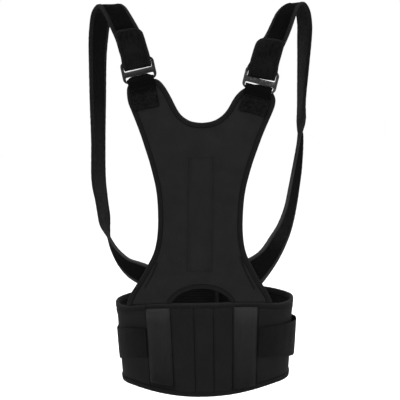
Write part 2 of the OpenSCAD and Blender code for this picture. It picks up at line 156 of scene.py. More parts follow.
# The back panel's surface.
def back_y(x, z):
    k, top = ease((z - 76) / 140), ease((z - 370) / 70)
    depth = -eased(z, [(76, 106), (200, 99), (330, 105), (450, 92)])
    a = 0.00128 + (0.0010 - 0.00128) * k
    a = a + (0.0002 - a) * top
    return depth + a * x * x + 0.69e-7 * (1 - k) * x ** 4


def back(x, z, off=0.0):
    x, z = np.broadcast_arrays(np.asarray(x, float), np.asarray(z, float))
    slope_x = back_y(x + 0.5, z) - back_y(x - 0.5, z)
    slope_z = back_y(x, z + 0.5) - back_y(x, z - 0.5)
    out = unit(np.stack([slope_x, -np.ones_like(x), slope_z], -1))
    return np.stack([x, back_y(x, z), z], -1) + np.asarray(off)[..., None] * out


HALF_WIDTHS = [
    (70, 124), (90, 115), (107, 104.5), (120, 96.5), (141, 85.5), (152, 79.8), (165, 75.3),
    (181, 72.3), (200, 70.8), (213, 70.7), (233, 71.2), (253, 72.6), (273, 75.8), (293, 80.8),
    (313, 86.4), (333, 93.2), (353, 100.2), (373, 108.3), (393, 116.8), (405, 121.5),
    (413, 123.2), (433, 123.4), (450, 122)]
TOP_HEIGHTS = [
    (-1, 434), (-0.97, 443), (-0.93, 447), (-0.86, 449), (-0.66, 450), (-0.6, 448.5),
    (-0.562, 446.5), (-0.519, 441), (-0.475, 434.6), (-0.434, 426), (-0.398, 416.7),
    (-0.369, 406.5), (-0.341, 397), (-0.305, 389.6), (-0.265, 385), (-0.2, 380),
    (-0.136, 377.3), (0, 375.4), (0.136, 377.3), (0.22, 380.8), (0.299, 387.8), (0.335, 393.2),
    (0.369, 400.3), (0.406, 409.8), (0.449, 418.1), (0.493, 424.1), (0.533, 428.8), (0.58, 433),
    (0.66, 436.5), (0.865, 435), (0.93, 432), (0.965, 427), (1, 417)]
ARCH_X, ARCH_HALF, ARCH_H = -1, 50, 26


def half_width(z):
    return lookup(z, HALF_WIDTHS)


def middle_x(z):
    """The panel's middle line, which leans a little."""
    return -4 + (z - 107) / 70 - 2.5 * ease((z - 395) / 35)


def arch_z(x):
    share = np.clip(np.abs(x - ARCH_X) / ARCH_HALF, 0, 1)
    return ARCH_H * (1 - share ** 2) ** 0.65


def resample(points, step, blur=0.0):
    """The same line with a point every step, its corners rounded over about blur."""
    points = np.asarray(points, float)
    run = np.concatenate([[0], np.cumsum(np.linalg.norm(np.diff(points, axis=0), axis=-1))])
    n = max(2, int(round(run[-1] / step)) + 1)
    at = np.linspace(0, run[-1], n)
    line = np.stack([np.interp(at, run, points[:, i]) for i in range(points.shape[1])], -1)
    if blur:
        reach = int(3 * blur / step)
        kernel = np.exp(-0.5 * (np.arange(-reach, reach + 1) * step / blur) ** 2)
        kernel /= kernel.sum()
        ahead, behind = line[:1] - line[reach:0:-1], line[-1:] - line[-2:-reach - 2:-1]
        padded = np.concatenate([line[:1] + ahead, line, line[-1:] + behind])
        line = np.stack([np.convolve(padded[:, i], kernel, "valid")
                         for i in range(line.shape[1])], -1)
    return line


def panel_outline():
    left_z = np.arange(belt_top(-125.0) + 0.3, 434, 3)
    left = np.stack([middle_x(left_z) - half_width(left_z), left_z], -1)
    f = np.linspace(-1, 1, 161)
    top_z = lookup(f, TOP_HEIGHTS)
    top = np.stack([middle_x(top_z) + f * half_width(top_z), top_z], -1)
    right_z = np.arange(417, belt_top(120.0) + 0.3, -3)
    right = np.stack([middle_x(right_z) + half_width(right_z), right_z], -1)
    return resample(np.concatenate([left, top, right]), 2, 4)


def arch_line():
    x = ARCH_X + ARCH_HALF * np.sin(np.linspace(-math.pi / 2, math.pi / 2, 61))
    z = belt_top(x) + arch_z(x) - 1
    return resample(np.stack([x, z], -1), 2, 2.5)


OUTLINE, ARCH = panel_outline(), arch_line()


def gap_to(line, x, z):
    """How far each point is from a line, both flat."""
    at = np.stack([x, z], -1).reshape(-1, 1, 2)
    nearest = np.full(len(at), 1e9)
    for part in np.array_split(line, 6):
        nearest = np.minimum(nearest, np.linalg.norm(at - part[None], axis=-1).min(1))
    return nearest.reshape(np.shape(x))


# Shoulder straps: left and right edge of each station, from the buckle over the shoulder,
# down the chest and under the arm to the panel's flare.
LEFT_ROUTE = [
    ((-130, -88, 474), (-87, -88, 484)), ((-137, -88, 490), (-92, -88, 500)),
    ((-144, -83, 512), (-99, -84, 521)), ((-155, -72, 535), (-110, -72, 540)),
    ((-166, -58, 556), (-122, -50, 558)), ((-178, -40, 574), (-134, -26, 574)),
    ((-187, -19, 578), (-148, 3, 583)), ((-198, 1, 568), (-162, 27, 579)),
    ((-204, 16, 547), (-172, 46, 558)), ((-207, 25, 520), (-179, 60, 525)),
    ((-208, 32, 490), (-183, 68, 490)), ((-208, 39, 420), (-186, 78, 420)),
    ((-206, 40, 346), (-188, 80, 346)), ((-205, 33, 276), (-187, 74, 280)),
    ((-196, 20, 238), (-182, 64, 238)), ((-187, 6, 207), (-177, 50, 210)),
    ((-175, -9, 188), (-175, 34, 186)), ((-162, -28, 172), (-171, 14, 165)),
    ((-147, -50, 158.5), (-162, -10, 148)), ((-126, -70, 146), (-147, -36, 128)),
    ((-106, -80, 141.5), (-128, -60, 112)), ((-88, -84, 135), (-108, -74, 101)),
    ((-67, -91, 120), (-88, -86, 84))]
RIGHT_ROUTE = [
    ((80, -88, 468), (122.5, -88, 457.5)), ((85, -88, 485), (128, -88, 476)),
    ((93, -80, 504), (134, -87, 497)), ((105, -62, 522), (141, -84, 514)),
    ((114, -46, 541), (148, -73, 532)), ((124, -30, 562), (155, -61, 553)),
    ((136, -10, 576), (161, -46, 571)), ((149, 11, 583), (172, -27, 580)),
    ((160, 31, 575), (182, -8, 570)), ((165, 46, 555), (187, 8, 547)),
    ((166, 58, 530), (187, 19, 522)), ((167, 66, 490), (184, 26, 485)),
    ((168, 74, 424), (178, 31, 418)), ((170, 76, 382), (177, 32, 382)),
    ((176, 74, 350), (168, 30, 350)), ((174.5, 66, 300), (158, 22, 302)),
    ((169, 52, 258), (150, 10, 264)), ((163, 36, 224), (142, -6, 230)),
    ((155, 14, 192), (130, -24, 202)), ((144, -10, 165), (115, -44, 181)),
    ((128, -36, 137), (98, -64, 160)), ((106, -72, 110), (76, -82, 148)),
    ((84, -86, 88), (52, -91, 138))]
STRAP_W = 45.0


class Ribbon:
    """A strip of cloth between two edges. w runs across it from its middle, and l along it."""

    def __init__(self, pairs, width=STRAP_W, curved=True):
        pairs = np.asarray(pairs, float)
        if curved:
            pairs = self.curve(pairs)
        middle = pairs.mean(1)
        run = np.linalg.norm(np.diff(middle, axis=0), axis=-1)
        self.run = np.concatenate([[0], np.cumsum(run)])
        self.pairs, self.width, self.length = pairs, width, self.run[-1]
        self.gaps = pairs.shape[1] - 1
        self.curl = None

    @staticmethod
    def curve(pairs, fine=12):
        ends = np.concatenate([pairs[:1], pairs, pairs[-1:]])
        k = (np.arange(fine) / fine)[:, None, None]
        out = []
        for a, b, c, d in zip(ends, ends[1:], ends[2:], ends[3:]):
            out.append((2 * b + (c - a) * k + (2 * a - 5 * b + 4 * c - d) * k ** 2
                        + (3 * b - a - 3 * c + d) * k ** 3) / 2)
        return np.concatenate(out + [pairs[-1:]])

    def edge(self, side, l):
        return np.stack([np.interp(l, self.run, self.pairs[:, side, i]) for i in range(3)], -1)

    def station(self, number, fine=12):
        return float(self.run[int(round(number * fine))])

    def skin(self, w, l):
        share = np.clip(0.5 + w / self.width, 0, 1) * self.gaps
        column = np.clip(np.floor(share).astype(int), 0, self.gaps - 1)
        at = np.clip(np.searchsorted(self.run, l, side="right") - 1, 0, len(self.run) - 2)
        k = np.clip((l - self.run[at]) / (self.run[at + 1] - self.run[at]), 0, 1)[..., None]
        j = (share - column)[..., None]
        p = self.pairs
        low = p[at, column] * (1 - j) + p[at, column + 1] * j
        high = p[at + 1, column] * (1 - j) + p[at + 1, column + 1] * j
        return low * (1 - k) + high * k

    def __call__(self, w, l, off=0.0):
        w, l = np.broadcast_arrays(np.asarray(w, float), np.asarray(l, float))
        if self.curl:
            at, spread, cup, swell = self.curl
            near = np.exp(-((l - at) / spread) ** 2)
            off = off * (1 + swell * near) + cup * near * (1 - (w / (STRAP_W / 2)) ** 2)
        # A flat strip faces one way all across. A bent one turns from column to column.
        side, reach = (0 * w, self.width / 2) if self.gaps == 1 else (w, 2.0)
        across = self.skin(side + reach, l) - self.skin(side - reach, l)
        ahead = self.skin(side, l + 2) - self.skin(side, l - 2)
        out = unit(np.cross(across, ahead))
        return self.skin(w, l) + np.asarray(off)[..., None] * out


# ---------------------------------------------------------------- meshes
def add_mesh(name, points, faces, material, body=None, cloth=None, flat=False):
    """A piece from points in millimetres. cloth is each point's place on the flat cloth."""
    mesh = bpy.data.meshes.new(name)
    mesh.from_pydata((np.asarray(points) / 1000).tolist(), [], [list(map(int, f)) for f in faces])
    mesh.validate()
    mesh.update()
    if not flat:
        mesh.polygons.foreach_set("use_smooth", [True] * len(mesh.polygons))
    if cloth is not None:
        layer = mesh.uv_layers.new(name="cloth")
        corners = np.empty(len(mesh.loops), int)
        mesh.loops.foreach_get("vertex_index", corners)
        layer.data.foreach_set("uv", np.asarray(cloth, np.float32)[corners].ravel())
    mesh.materials.append(material)
    piece = bpy.data.objects.new(name, mesh)
    scene.collection.objects.link(piece)
    if body:
        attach(piece, body)
    return piece


def declare(piece, nodes=()):
    """Hides the CAD nodes that a piece stands for, and gives the piece back."""
    if nodes:
        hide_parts(*nodes)
    return piece


def spread(a, b, step, rim=0.0):
    """Places from a to b, a step apart, and close together within a rim of both ends."""
    inner = np.linspace(a + rim, b - rim, max(2, int(round((b - a - 2 * rim) / step)) + 1))
    if not rim:
        return inner
    close = rim * np.array([0, 0.04, 0.15, 0.34, 0.62])
    return np.concatenate([a + close, inner, (b - close)[::-1]])


def rounding(v, a, b, rim):
    """1 away from the ends a and b, falling round to almost 0 at them."""
    if not rim:
        return np.ones_like(v)
    near = np.clip(np.minimum(v - a, b - v) / rim, 0, 1)
    return np.sqrt(np.clip(1 - (1 - near) ** 2, 0.01, 1))


def grid_faces(nu, nv):
    """The quads of two grids of points and of the rim that joins them."""
    i, j = np.meshgrid(np.arange(nu - 1), np.arange(nv - 1), indexing="ij")
    a = (i * nv + j).ravel()
    outer = np.stack([a, a + nv, a + nv + 1, a + 1], -1)
    inner = outer[:, ::-1] + nu * nv
    half = nu * nv
    rim = []
    for j in range(nv - 1):
        right = (nu - 1) * nv + j
        rim += [[j, j + 1, j + 1 + half, j + half],
                [right, right + half, right + 1 + half, right + 1]]
    for i in range(nu - 1):
        low, top = i * nv, i * nv + nv - 1
        rim += [[low, low + half, low + nv + half, low + nv],
                [top, top + nv, top + nv + half, top + half]]
    return outer.tolist() + inner.tolist() + rim


def slab(name, surface, us, vs, low, high, material, body=None, rims=(0, 0), place=None,
         inside=None):
    """A closed sheet on a surface, from height low to height high, with rounded edges.
    place turns the grid's u and v into the surface's own, where they differ. inside is the
    inner face's material, where it has its own."""
    us, vs = spread(us[0], us[1], us[2], rims[0]), spread(vs[0], vs[1], vs[2], rims[1])
    u, v = np.meshgrid(us, vs, indexing="ij")
    soft = rounding(u, us[0], us[-1], rims[0]) * rounding(v, vs[0], vs[-1], rims[1])
    if place:
        u, v = place(u, v)
    top = high(u, v) if callable(high) else np.full_like(u, high)
    bottom = low(u, v) if callable(low) else np.full_like(u, low)
    middle = (top + bottom) / 2
    top, bottom = middle + (top - middle) * soft, middle + (bottom - middle) * soft
    points = np.concatenate([surface(u, v, top).reshape(-1, 3),
                             surface(u, v, bottom).reshape(-1, 3)])
    flat = np.stack([u.ravel(), v.ravel()], -1)
    cloth = np.concatenate([flat, flat])
    piece = add_mesh(name, points, grid_faces(len(us), len(vs)), material, body, cloth)
    if inside:
        piece.data.materials.append(inside)
        quads = (len(us) - 1) * (len(vs) - 1)
        for polygon in piece.data.polygons[quads:2 * quads]:
            polygon.material_index = 1
    return piece


def straight(u, v):
    """A line on a surface, along which u or v can stay the same."""
    return np.stack(np.broadcast_arrays(u, v), -1)


def sideways(path):
    """The flat direction to the left of a path's travel."""
    ahead = unit(np.gradient(np.asarray(path, float), axis=0))
    return np.stack([-ahead[:, 1], ahead[:, 0]], -1)


def folded_tape(width, high, low=None):
    """Cross-section of a tape folded over an edge: how far in, and how high."""
    low = -high if low is None else low
    mid, half = (high + low) / 2, (high - low) / 2
    thin = 0.7
    outer = [(width, half - thin), (width - 0.15, half - 0.15), (width - 0.6, half),
             (width * 0.75, half + 0.05), (width * 0.5, half + 0.12), (width * 0.25, half + 0.05),
             (1.3, half - 0.1), (0.5, half * 0.8), (0.1, half * 0.4), (0, 0)]
    back_side = [(d, -o) for d, o in outer[-2::-1]]
    inside = [(width - 0.5, -half + thin), (1.5, -half + thin), (1.0, 0), (1.5, half - thin),
              (width - 0.5, half - thin)]
    return [(d, mid + o) for d, o in outer + back_side + inside]


def binding(name, surface, path, side, section, material, body=None, seed=1, wave=0.16):
    """Binding tape along a path, folded over the edge. side is 1 if the cloth is on the left."""
    path = np.asarray(path, float)
    inward = sideways(path) * side
    run = np.concatenate([[0], np.cumsum(np.linalg.norm(np.diff(path, axis=0), axis=-1))])
    rings, cloth = [], []
    around = 0.0
    for i, (d, off) in enumerate(section):
        at = path + inward * d
        pucker = wave * ripple(run, 0 * run + 9 * i, 9, seed) * np.sign(off)
        rings.append(surface(at[:, 0], at[:, 1], off + pucker * (abs(off) > 0.5)))
        around += math.dist(section[i], section[i - 1]) if i else 0
        cloth.append(np.stack([np.full_like(run, around), run], -1))
    n, m = len(path), len(section)
    points = np.concatenate(rings)
    faces = []
    for i in range(m):
        k = (i + 1) % m
        for j in range(n - 1):
            quad = [i * n + j, i * n + j + 1, k * n + j + 1, k * n + j]
            faces.append(quad if side < 0 else quad[::-1])
    first, last = [i * n for i in range(m)], [i * n + n - 1 for i in range(m)]
    faces += [first if side < 0 else first[::-1], last[::-1] if side < 0 else last]
    return add_mesh(name, points, faces, material, body, np.concatenate(cloth))


STITCHES = {}


def sew(key, surface, path, off, length=2.6, pitch=3.6, width=0.42):
    """A row of stitches along a path on a surface, kept for the piece named key."""
    path = resample(path, 0.9)
    run = np.concatenate([[0], np.cumsum(np.linalg.norm(np.diff(path, axis=0), axis=-1))])
    count = int(run[-1] / pitch)
    if count < 1:
        return
    centre = (np.arange(count) + 0.5) * run[-1] / count
    shape = [(-0.5, 0.15), (-0.38, 0.85), (0, 1), (0.38, 0.85), (0.5, 0.15)]
    rings = []

    def point(at, rise=0.0):
        u, v = np.interp(at, run, path[:, 0]), np.interp(at, run, path[:, 1])
        return surface(u, v, np.full_like(u, off + rise))
    for share, size in shape:
        at = centre + share * length
        here = point(at)
        up, ahead = unit(point(at, 1) - here), unit(point(at + 0.5) - point(at - 0.5))
        across = np.cross(ahead, up)
        ring = [here + width * size * (math.cos(a) * across + 0.8 * math.sin(a) * up)
                for a in np.arange(6) * math.pi / 3]
        rings.append(np.stack(ring, 1))
    STITCHES.setdefault(key, []).append(np.stack(rings, 1))


def make_stitches(key, material):
    """One piece from every row that was kept under key."""
    beads = np.concatenate(STITCHES[key])
    count, rings, sides = beads.shape[:3]
    faces = []
    for r in range(rings - 1):
        for a in range(sides):
            b = (a + 1) % sides
            faces.append([r * sides + a, r * sides + b, (r + 1) * sides + b, (r + 1) * sides + a])
    faces += [list(range(sides))[::-1], [(rings - 1) * sides + a for a in range(sides)]]
    step = rings * sides
    every = [[i + n * step for i in face] for n in range(count) for face in faces]
    return add_mesh(f"{key}_stitches", beads.reshape(-1, 3), every, material)


def puff(piece, free, pressure, cap, frames=16, slack=0.0):
    """Lets Cloth swell the free points, then keeps the result in the mesh."""
    mesh = piece.data
    rest = np.array([v.co for v in mesh.vertices])
    group = piece.vertex_groups.new(name="held")
    group.add(np.flatnonzero(~free).tolist(), 1.0, "REPLACE")
    cloth = piece.modifiers.new("Cloth", "CLOTH")
    cloth.settings.vertex_group_mass = "held"
    cloth.settings.use_pressure = True
    cloth.settings.uniform_pressure_force = pressure
    cloth.settings.effector_weights.gravity = 0
    cloth.settings.shrink_min = -slack
    cloth.settings.quality = 4
    cloth.settings.tension_stiffness = 25
    cloth.settings.compression_stiffness = 25
    cloth.settings.shear_stiffness = 12
    cloth.settings.bending_stiffness = 2
    cloth.collision_settings.use_collision = False
    scene.frame_start, scene.frame_end = 1, frames
    for number in range(1, frames + 1):
        scene.frame_set(number)
    made = piece.evaluated_get(bpy.context.evaluated_depsgraph_get()).to_mesh()
    moved = np.array([v.co for v in made.vertices]) - rest
    far = np.linalg.norm(moved, axis=-1, keepdims=True)
    limit = cap / 1000
    moved *= np.where(far > 1e-9, limit * np.tanh(far / limit) / np.maximum(far, 1e-9), 0)
    piece.modifiers.remove(cloth)
    piece.vertex_groups.remove(group)
    mesh.vertices.foreach_set("co", (rest + moved).ravel())
    mesh.update()
    scene.frame_set(1)


# ---------------------------------------------------------------- materials
def grey(level, tint=(1, 1, 1)):
    return tuple(level * t for t in tint) + (1,)


class Nodes:
    """Short names for building a material's nodes."""

    def __init__(self, name):
        self.material = bpy.data.materials.new(name)
        self.material.use_nodes = True
        self.tree = self.material.node_tree
        self.shader = self.tree.nodes["Principled BSDF"]

    def add(self, kind, values=(), **settings):
        node = self.tree.nodes.new("ShaderNode" + kind)
        for key, value in settings.items():
            setattr(node, key, value)
        for key, value in dict(values).items():
            if hasattr(value, "is_output"):
                self.tree.links.new(value, node.inputs[key])
            else:
                node.inputs[key].default_value = value
        return node

    def place(self):
        """The point on the object, in millimetres."""
        at = self.add("TexCoord").outputs["Object"]
        return self.add("VectorMath", {0: at, 1: (1000, 1000, 1000)},
                        operation="MULTIPLY").outputs[0]

    def cloth(self):
        """The place on the flat cloth, in millimetres, as two numbers."""
        at = self.add("UVMap", uv_map="cloth").outputs[0]
        parts = self.add("SeparateXYZ", {0: at})
        return parts.outputs[0], parts.outputs[1]

    def math(self, operation, a, b=0.0):
        return self.add("Math", {0: a, 1: b}, operation=operation).outputs[0]

    def waves(self, value, pitch):
        """Rounded ribs this far apart, from 0 to 1."""
        sine = self.math("SINE", self.math("MULTIPLY", value, 2 * math.pi / pitch))
        return self.math("ADD", self.math("MULTIPLY", sine, 0.5), 0.5)

    def noise(self, size, detail=3.0, at=None, rough=0.55):
        at = at or self.place()
        return self.add("TexNoise", {"Vector": at, "Scale": 1 / size, "Detail": detail,
                                     "Roughness": rough}).outputs["Fac"]

    def bump(self, height, depth, strength=1.0, onto=None):
        values = {"Height": height, "Distance": depth / 1000, "Strength": strength}
        if onto:
            values["Normal"] = onto
        return self.add("Bump", values).outputs[0]

    def blend(self, factor, a, b):
        node = self.add("Mix", data_type="RGBA")
        self.tree.links.new(factor, node.inputs["Factor"])
        for key, value in (("A", a), ("B", b)):
            socket = [s for s in node.inputs if s.name == key and s.type == "RGBA"][0]
            if hasattr(value, "is_output"):
                self.tree.links.new(value, socket)
            else:
                socket.default_value = value
        return [s for s in node.outputs if s.type == "RGBA"][0]

    def range(self, value, low, high, to_low, to_high):
        return self.add("MapRange", {0: value, 1: low, 2: high, 3: to_low, 4: to_high}).outputs[0]

    def shade(self, tone, value, limits, shares, level):
        """Mixes a grey into the tone, by a share that follows the value between its limits."""
        return self.blend(self.range(value, *limits, *shares), tone, grey(level))

    def finish(self, colour, rough, normal=None, sheen=0.0, sheen_rough=0.5, specular=0.3,
               sheen_tint=(1, 1, 1, 1), coat=0.0):
        for key, value in (("Base Color", colour), ("Roughness", rough), ("Normal", normal)):
            if hasattr(value, "is_output"):
                self.tree.links.new(value, self.shader.inputs[key])
            elif value is not None:
                self.shader.inputs[key].default_value = value
        self.shader.inputs["Sheen Weight"].default_value = sheen
        self.shader.inputs["Sheen Roughness"].default_value = sheen_rough
        self.shader.inputs["Sheen Tint"].default_value = sheen_tint
        self.shader.inputs["Specular IOR Level"].default_value = specular
        self.shader.inputs["Coat Weight"].default_value = coat
        return self.material


def knit_foam(name, level):
    """A fine warp knit bonded to foam: tiny columns of loops and a faint, soft mottling."""
    n = Nodes(name)
    u, v = n.cloth()
    loops = n.math("MULTIPLY", n.waves(u, 1.1), n.waves(v, 0.8))
    fuzz = n.noise(0.9, 4)
    wide = n.noise(34, 4)
    tone = n.shade(grey(0.0058 * level), wide, (0.3, 0.7), (0, 1), 0.0088 * level)
    tone = n.shade(tone, loops, (0.0, 0.9), (0.0, 0.55), 0.0108 * level)
    tone = n.shade(tone, fuzz, (0.45, 0.8), (0.0, 0.4), 0.013 * level)
    height = n.math("ADD", loops, n.math("MULTIPLY", fuzz, 0.8))
    normal = n.bump(height, 0.22, 0.55)
    normal = n.bump(n.noise(11, 3), 0.9, 0.25, normal)
    return n.finish(tone, n.range(wide, 0.3, 0.7, 0.82, 0.93), normal, 0.006, 0.45, 0.035)


def mesh_lining():
    """Spacer mesh with small round holes in rows."""
    n = Nodes("lining_mesh")
    u, v = n.cloth()
    at = n.add("CombineXYZ", {0: n.math("DIVIDE", u, 2.4), 1: n.math("DIVIDE", v, 2.4)}).outputs[0]
    cell = n.add("TexVoronoi", {"Vector": at, "Scale": 1.0, "Randomness": 0.12}).outputs[0]
    hole = n.range(cell, 0.22, 0.36, 0, 1)
    tone = n.blend(hole, grey(0.0013), grey(0.005))
    tone = n.shade(tone, n.noise(26), (0.35, 0.7), (0, 0.5), 0.011)
    normal = n.bump(hole, 0.5, 0.8)
    return n.finish(tone, 0.9, normal, 0.006, 0.5, 0.03)


def ribbed_cloth(name, dark, light, across, pitch, depth, rough=0.85, sheen=0.1, second=0.9,
                 specular=0.2, fuzz_size=0.8, lit_fold=None, patch=None, shade_fade=None):
    """Woven cloth with ribs. across picks the direction along which the ribs follow on.
    lit_fold is how far from a tape's inner edge its fold is: the tape is painted lighter towards
    the fold, a painted highlight, and darker at its inner edge, a painted shade in the groove.
    patch is how long a part is that is sewn flat, which is painted lighter, a painted light, in
    blotches.
    shade_fade is where along it a painted shade starts and ends fading."""
    n = Nodes(name)
    u, v = n.cloth()
    along_it, over_it = (u, v) if across else (v, u)
    ribs = n.waves(along_it, pitch)
    cross_ribs = n.waves(over_it, second)
    weave = n.math("ADD", ribs, n.math("MULTIPLY", cross_ribs, 0.35))
    fuzz = n.noise(fuzz_size, 4)
    tone = n.shade(grey(dark), ribs, (0.1, 0.95), (0, 1), light)
    tone = n.shade(tone, n.noise(22, 4), (0.35, 0.72), (0.0, 0.45), dark * 0.8)
    tone = n.shade(tone, fuzz, (0.5, 0.8), (0, 0.35), light * 1.35)
    # Painted light: where the webbing lies flat, away from the bar's shade, it is painted lighter,
    # in blotches of mottling.
    if patch:
        flat_part_light = n.math("MULTIPLY", n.range(v, patch - 5, patch, 1, 0),
                        n.range(n.noise(5, 4), 0.4, 0.62, 0.15, 0.9))
        tone = n.blend(flat_part_light, tone, grey(light * 2.6))
    # Painted shade at the tape's inner edge, in the groove, and a painted highlight towards its
    # fold.
    if lit_fold:
        tone = n.shade(tone, u, (0.2, 2.0), (0.8, 0), dark * 0.25)
        tone = n.shade(tone, u, (lit_fold - 4.5, lit_fold - 1), (0, 0.55), light * 1.9)
    # Painted shade: darker towards the start of the strap, fading out over this stretch.
    if shade_fade:
        tone = n.shade(tone, v, shade_fade, (0.8, 0), dark * 0.25)
    height = n.math("ADD", weave, n.math("MULTIPLY", fuzz, 0.5))
    normal = n.bump(height, depth, 0.8)
    return n.finish(tone, rough, normal, sheen, 0.4, specular)


def velour(name, level, lit_span=None):
    """Brushed loop pile: very dark, with streaks from brushing and a soft sheen at its edges.
    lit_span is where along the strap a painted light starts and ends: past it the pile is painted
    lighter, where light falls on the strap's lower run, and then darker again near its end by the
    panel, a painted shade."""
    n = Nodes(name)
    u, v = n.cloth()
    stretched = n.add("CombineXYZ", {0: u, 1: n.math("MULTIPLY", v, 0.3)}).outputs[0]
    streaks = n.noise(3.2, 5, stretched)
    pile = n.noise(0.55, 5)
    wide = n.noise(28, 3)
    tone = n.shade(grey(0.0008 * level), streaks, (0.3, 0.75), (0, 1), 0.0029 * level)
    tone = n.shade(tone, wide, (0.4, 0.75), (0, 0.6), 0.0036 * level)
    tone = n.shade(tone, pile, (0.5, 0.85), (0, 0.5), 0.006 * level)
    if lit_span:
        # Painted light: the lighter tone of the lower run, where light falls on it.
        light = n.shade(grey(0.0022), streaks, (0.35, 0.7), (0, 1), 0.0062)
        light = n.shade(light, n.noise(2.2, 4), (0.4, 0.7), (0, 0.6), 0.0085)
        # Painted shade near the strap's end, by the panel's edge.
        light = n.shade(light, v, (612, 650), (0, 0.7), 0.0009)
        tone = n.blend(n.range(v, *lit_span, 0, 1), tone, light)
    normal = n.bump(n.math("ADD", pile, n.math("MULTIPLY", streaks, 0.6)), 0.45, 0.8)
    return n.finish(tone, 0.96, normal, 0.003 * level, 0.35, 0.006)


def strap_lining(name, shoulder_shade, end):
    """The soft side of the shoulder straps: a napped knit with a coarse fleck. shoulder_shade and
    end are where along the strap it starts and stops getting lighter, and darker again: a painted
    shade near the shoulder, fading out, and a painted shade towards its end by the panel."""
    n = Nodes(name)
    u, v = n.cloth()
    loops = n.math("MULTIPLY", n.waves(u, 1.4), n.waves(v, 1.1))
    fleck = n.noise(2.6, 5)
    tone = n.shade(grey(0.0032), fleck, (0.38, 0.66), (0, 1), 0.0165)
    tone = n.shade(tone, loops, (0.1, 0.9), (0, 0.4), 0.011)
    # Painted shade near the shoulder, and painted shade towards the strap's end.
    tone = n.shade(tone, v, shoulder_shade, (0.85, 0), 0.0009)
    tone = n.shade(tone, v, end, (0, 0.6), 0.0012)
    return n.finish(tone, 0.94, n.bump(n.math("ADD", loops, fleck), 0.4, 0.7), 0.006, 0.4, 0.02)


def satin():
    """Satin-faced ribbon: fine ridges up it, and a brighter, smoother face."""
    n = Nodes("satin_ribbon")
    u, v = n.cloth()
    fine = n.waves(u, 0.8)
    broad = n.noise(3.0, 3, n.add("CombineXYZ", {0: u, 1: n.math("MULTIPLY", v, 0.04)}).outputs[0])
    wide = n.noise(30, 4)
    tone = n.shade(grey(0.0054), broad, (0.3, 0.7), (0, 1), 0.0100)
    tone = n.shade(tone, wide, (0.35, 0.7), (0, 0.5), 0.0044)
    # Painted shade darker towards the bottom, and a painted highlight near the top, where light
    # falls from above.
    tone = n.shade(tone, v, (-74, 45), (0.9, 0.2), 0.0008)
    tone = n.shade(tone, v, (40, 64), (0, 0.5), 0.0135)
    height = n.math("ADD", n.math("MULTIPLY", fine, 0.5), broad)
    normal = n.bump(height, 0.25, 0.6)
    normal = n.bump(n.noise(16, 3), 1.1, 0.3, normal)
    return n.finish(tone, n.range(broad, 0.3, 0.7, 0.42, 0.58), normal, 0.005, 0.4, 0.055)


def thread(name, level):
    n = Nodes(name)
    twist = n.noise(0.5, 3)
    tone = n.shade(grey(0.0016 * level), twist, (0.35, 0.7), (0, 1), 0.0052 * level)
    return n.finish(tone, 0.7, n.bump(twist, 0.12, 0.6), 0.004, 0.4, 0.05)


def hook_tape():
    """The hook side of a touch fastener: stubby hooks in rows."""
    n = Nodes("hook_tape")
    u, v = n.cloth()
    dots = n.math("MULTIPLY", n.waves(u, 1.3), n.waves(v, 1.3))
    tone = n.shade(grey(0.0025), dots, (0.25, 0.8), (0, 1), 0.009)
    return n.finish(tone, n.range(dots, 0.2, 0.8, 0.8, 0.5), n.bump(dots, 0.6, 0.9), 0.0, 0.5, 0.08)


def moulded(name, level):
    """Moulded acetal with a faint spark texture, painted lighter on its edges as a painted
    highlight.
    """
    n = Nodes(name)
    grain = n.noise(0.35, 3)
    wide = n.noise(9, 4)
    edge_shine = n.add("NewGeometry").outputs["Pointiness"]
    tone = n.shade(grey(0.0020 * level), wide, (0.35, 0.7), (0, 1), 0.0036 * level)
    # Painted highlight on the edges, found by pointiness.
    tone = n.shade(tone, edge_shine, (0.52, 0.62), (0, 0.5), 0.010 * level)
    # Painted glints: bright noise spots on the lit, lighter copy.
    if level > 1:
        tone = n.shade(tone, n.noise(6.5, 2), (0.5, 0.7), (0, 0.9), 0.05)
    normal = n.bump(grain, 0.05, 0.5)
    normal = n.bump(wide, 0.25, 0.2, normal)
    return n.finish(tone, n.range(wide, 0.3, 0.7, 0.26, 0.4), normal, 0, 0.5, 0.06 + 0.05 * level)


def steel():
    n = Nodes("spring_steel")
    at = n.add("VectorMath", {0: n.place(), 1: (1, 1, 0.04)}, operation="MULTIPLY").outputs[0]
    brush = n.noise(0.8, 4, at)
    tone = n.blend(n.range(brush, 0.3, 0.7, 0, 1), (0.40, 0.41, 0.43, 1), (0.62, 0.63, 0.65, 1))
    n.shader.inputs["Metallic"].default_value = 1.0
    return n.finish(tone, n.range(brush, 0.3, 0.7, 0.28, 0.45), n.bump(brush, 0.06, 0.4))


KNIT, BELT_KNIT = knit_foam("knit_foam", 0.78), knit_foam("belt_knit_foam", 0.56)
LINING, SATIN = mesh_lining(), satin()
STRAP_LINING = {"left": strap_lining("left_strap_lining", (340, 520), (625, 665)),
                "right": strap_lining("right_strap_lining", (150, 260), (580, 625))}
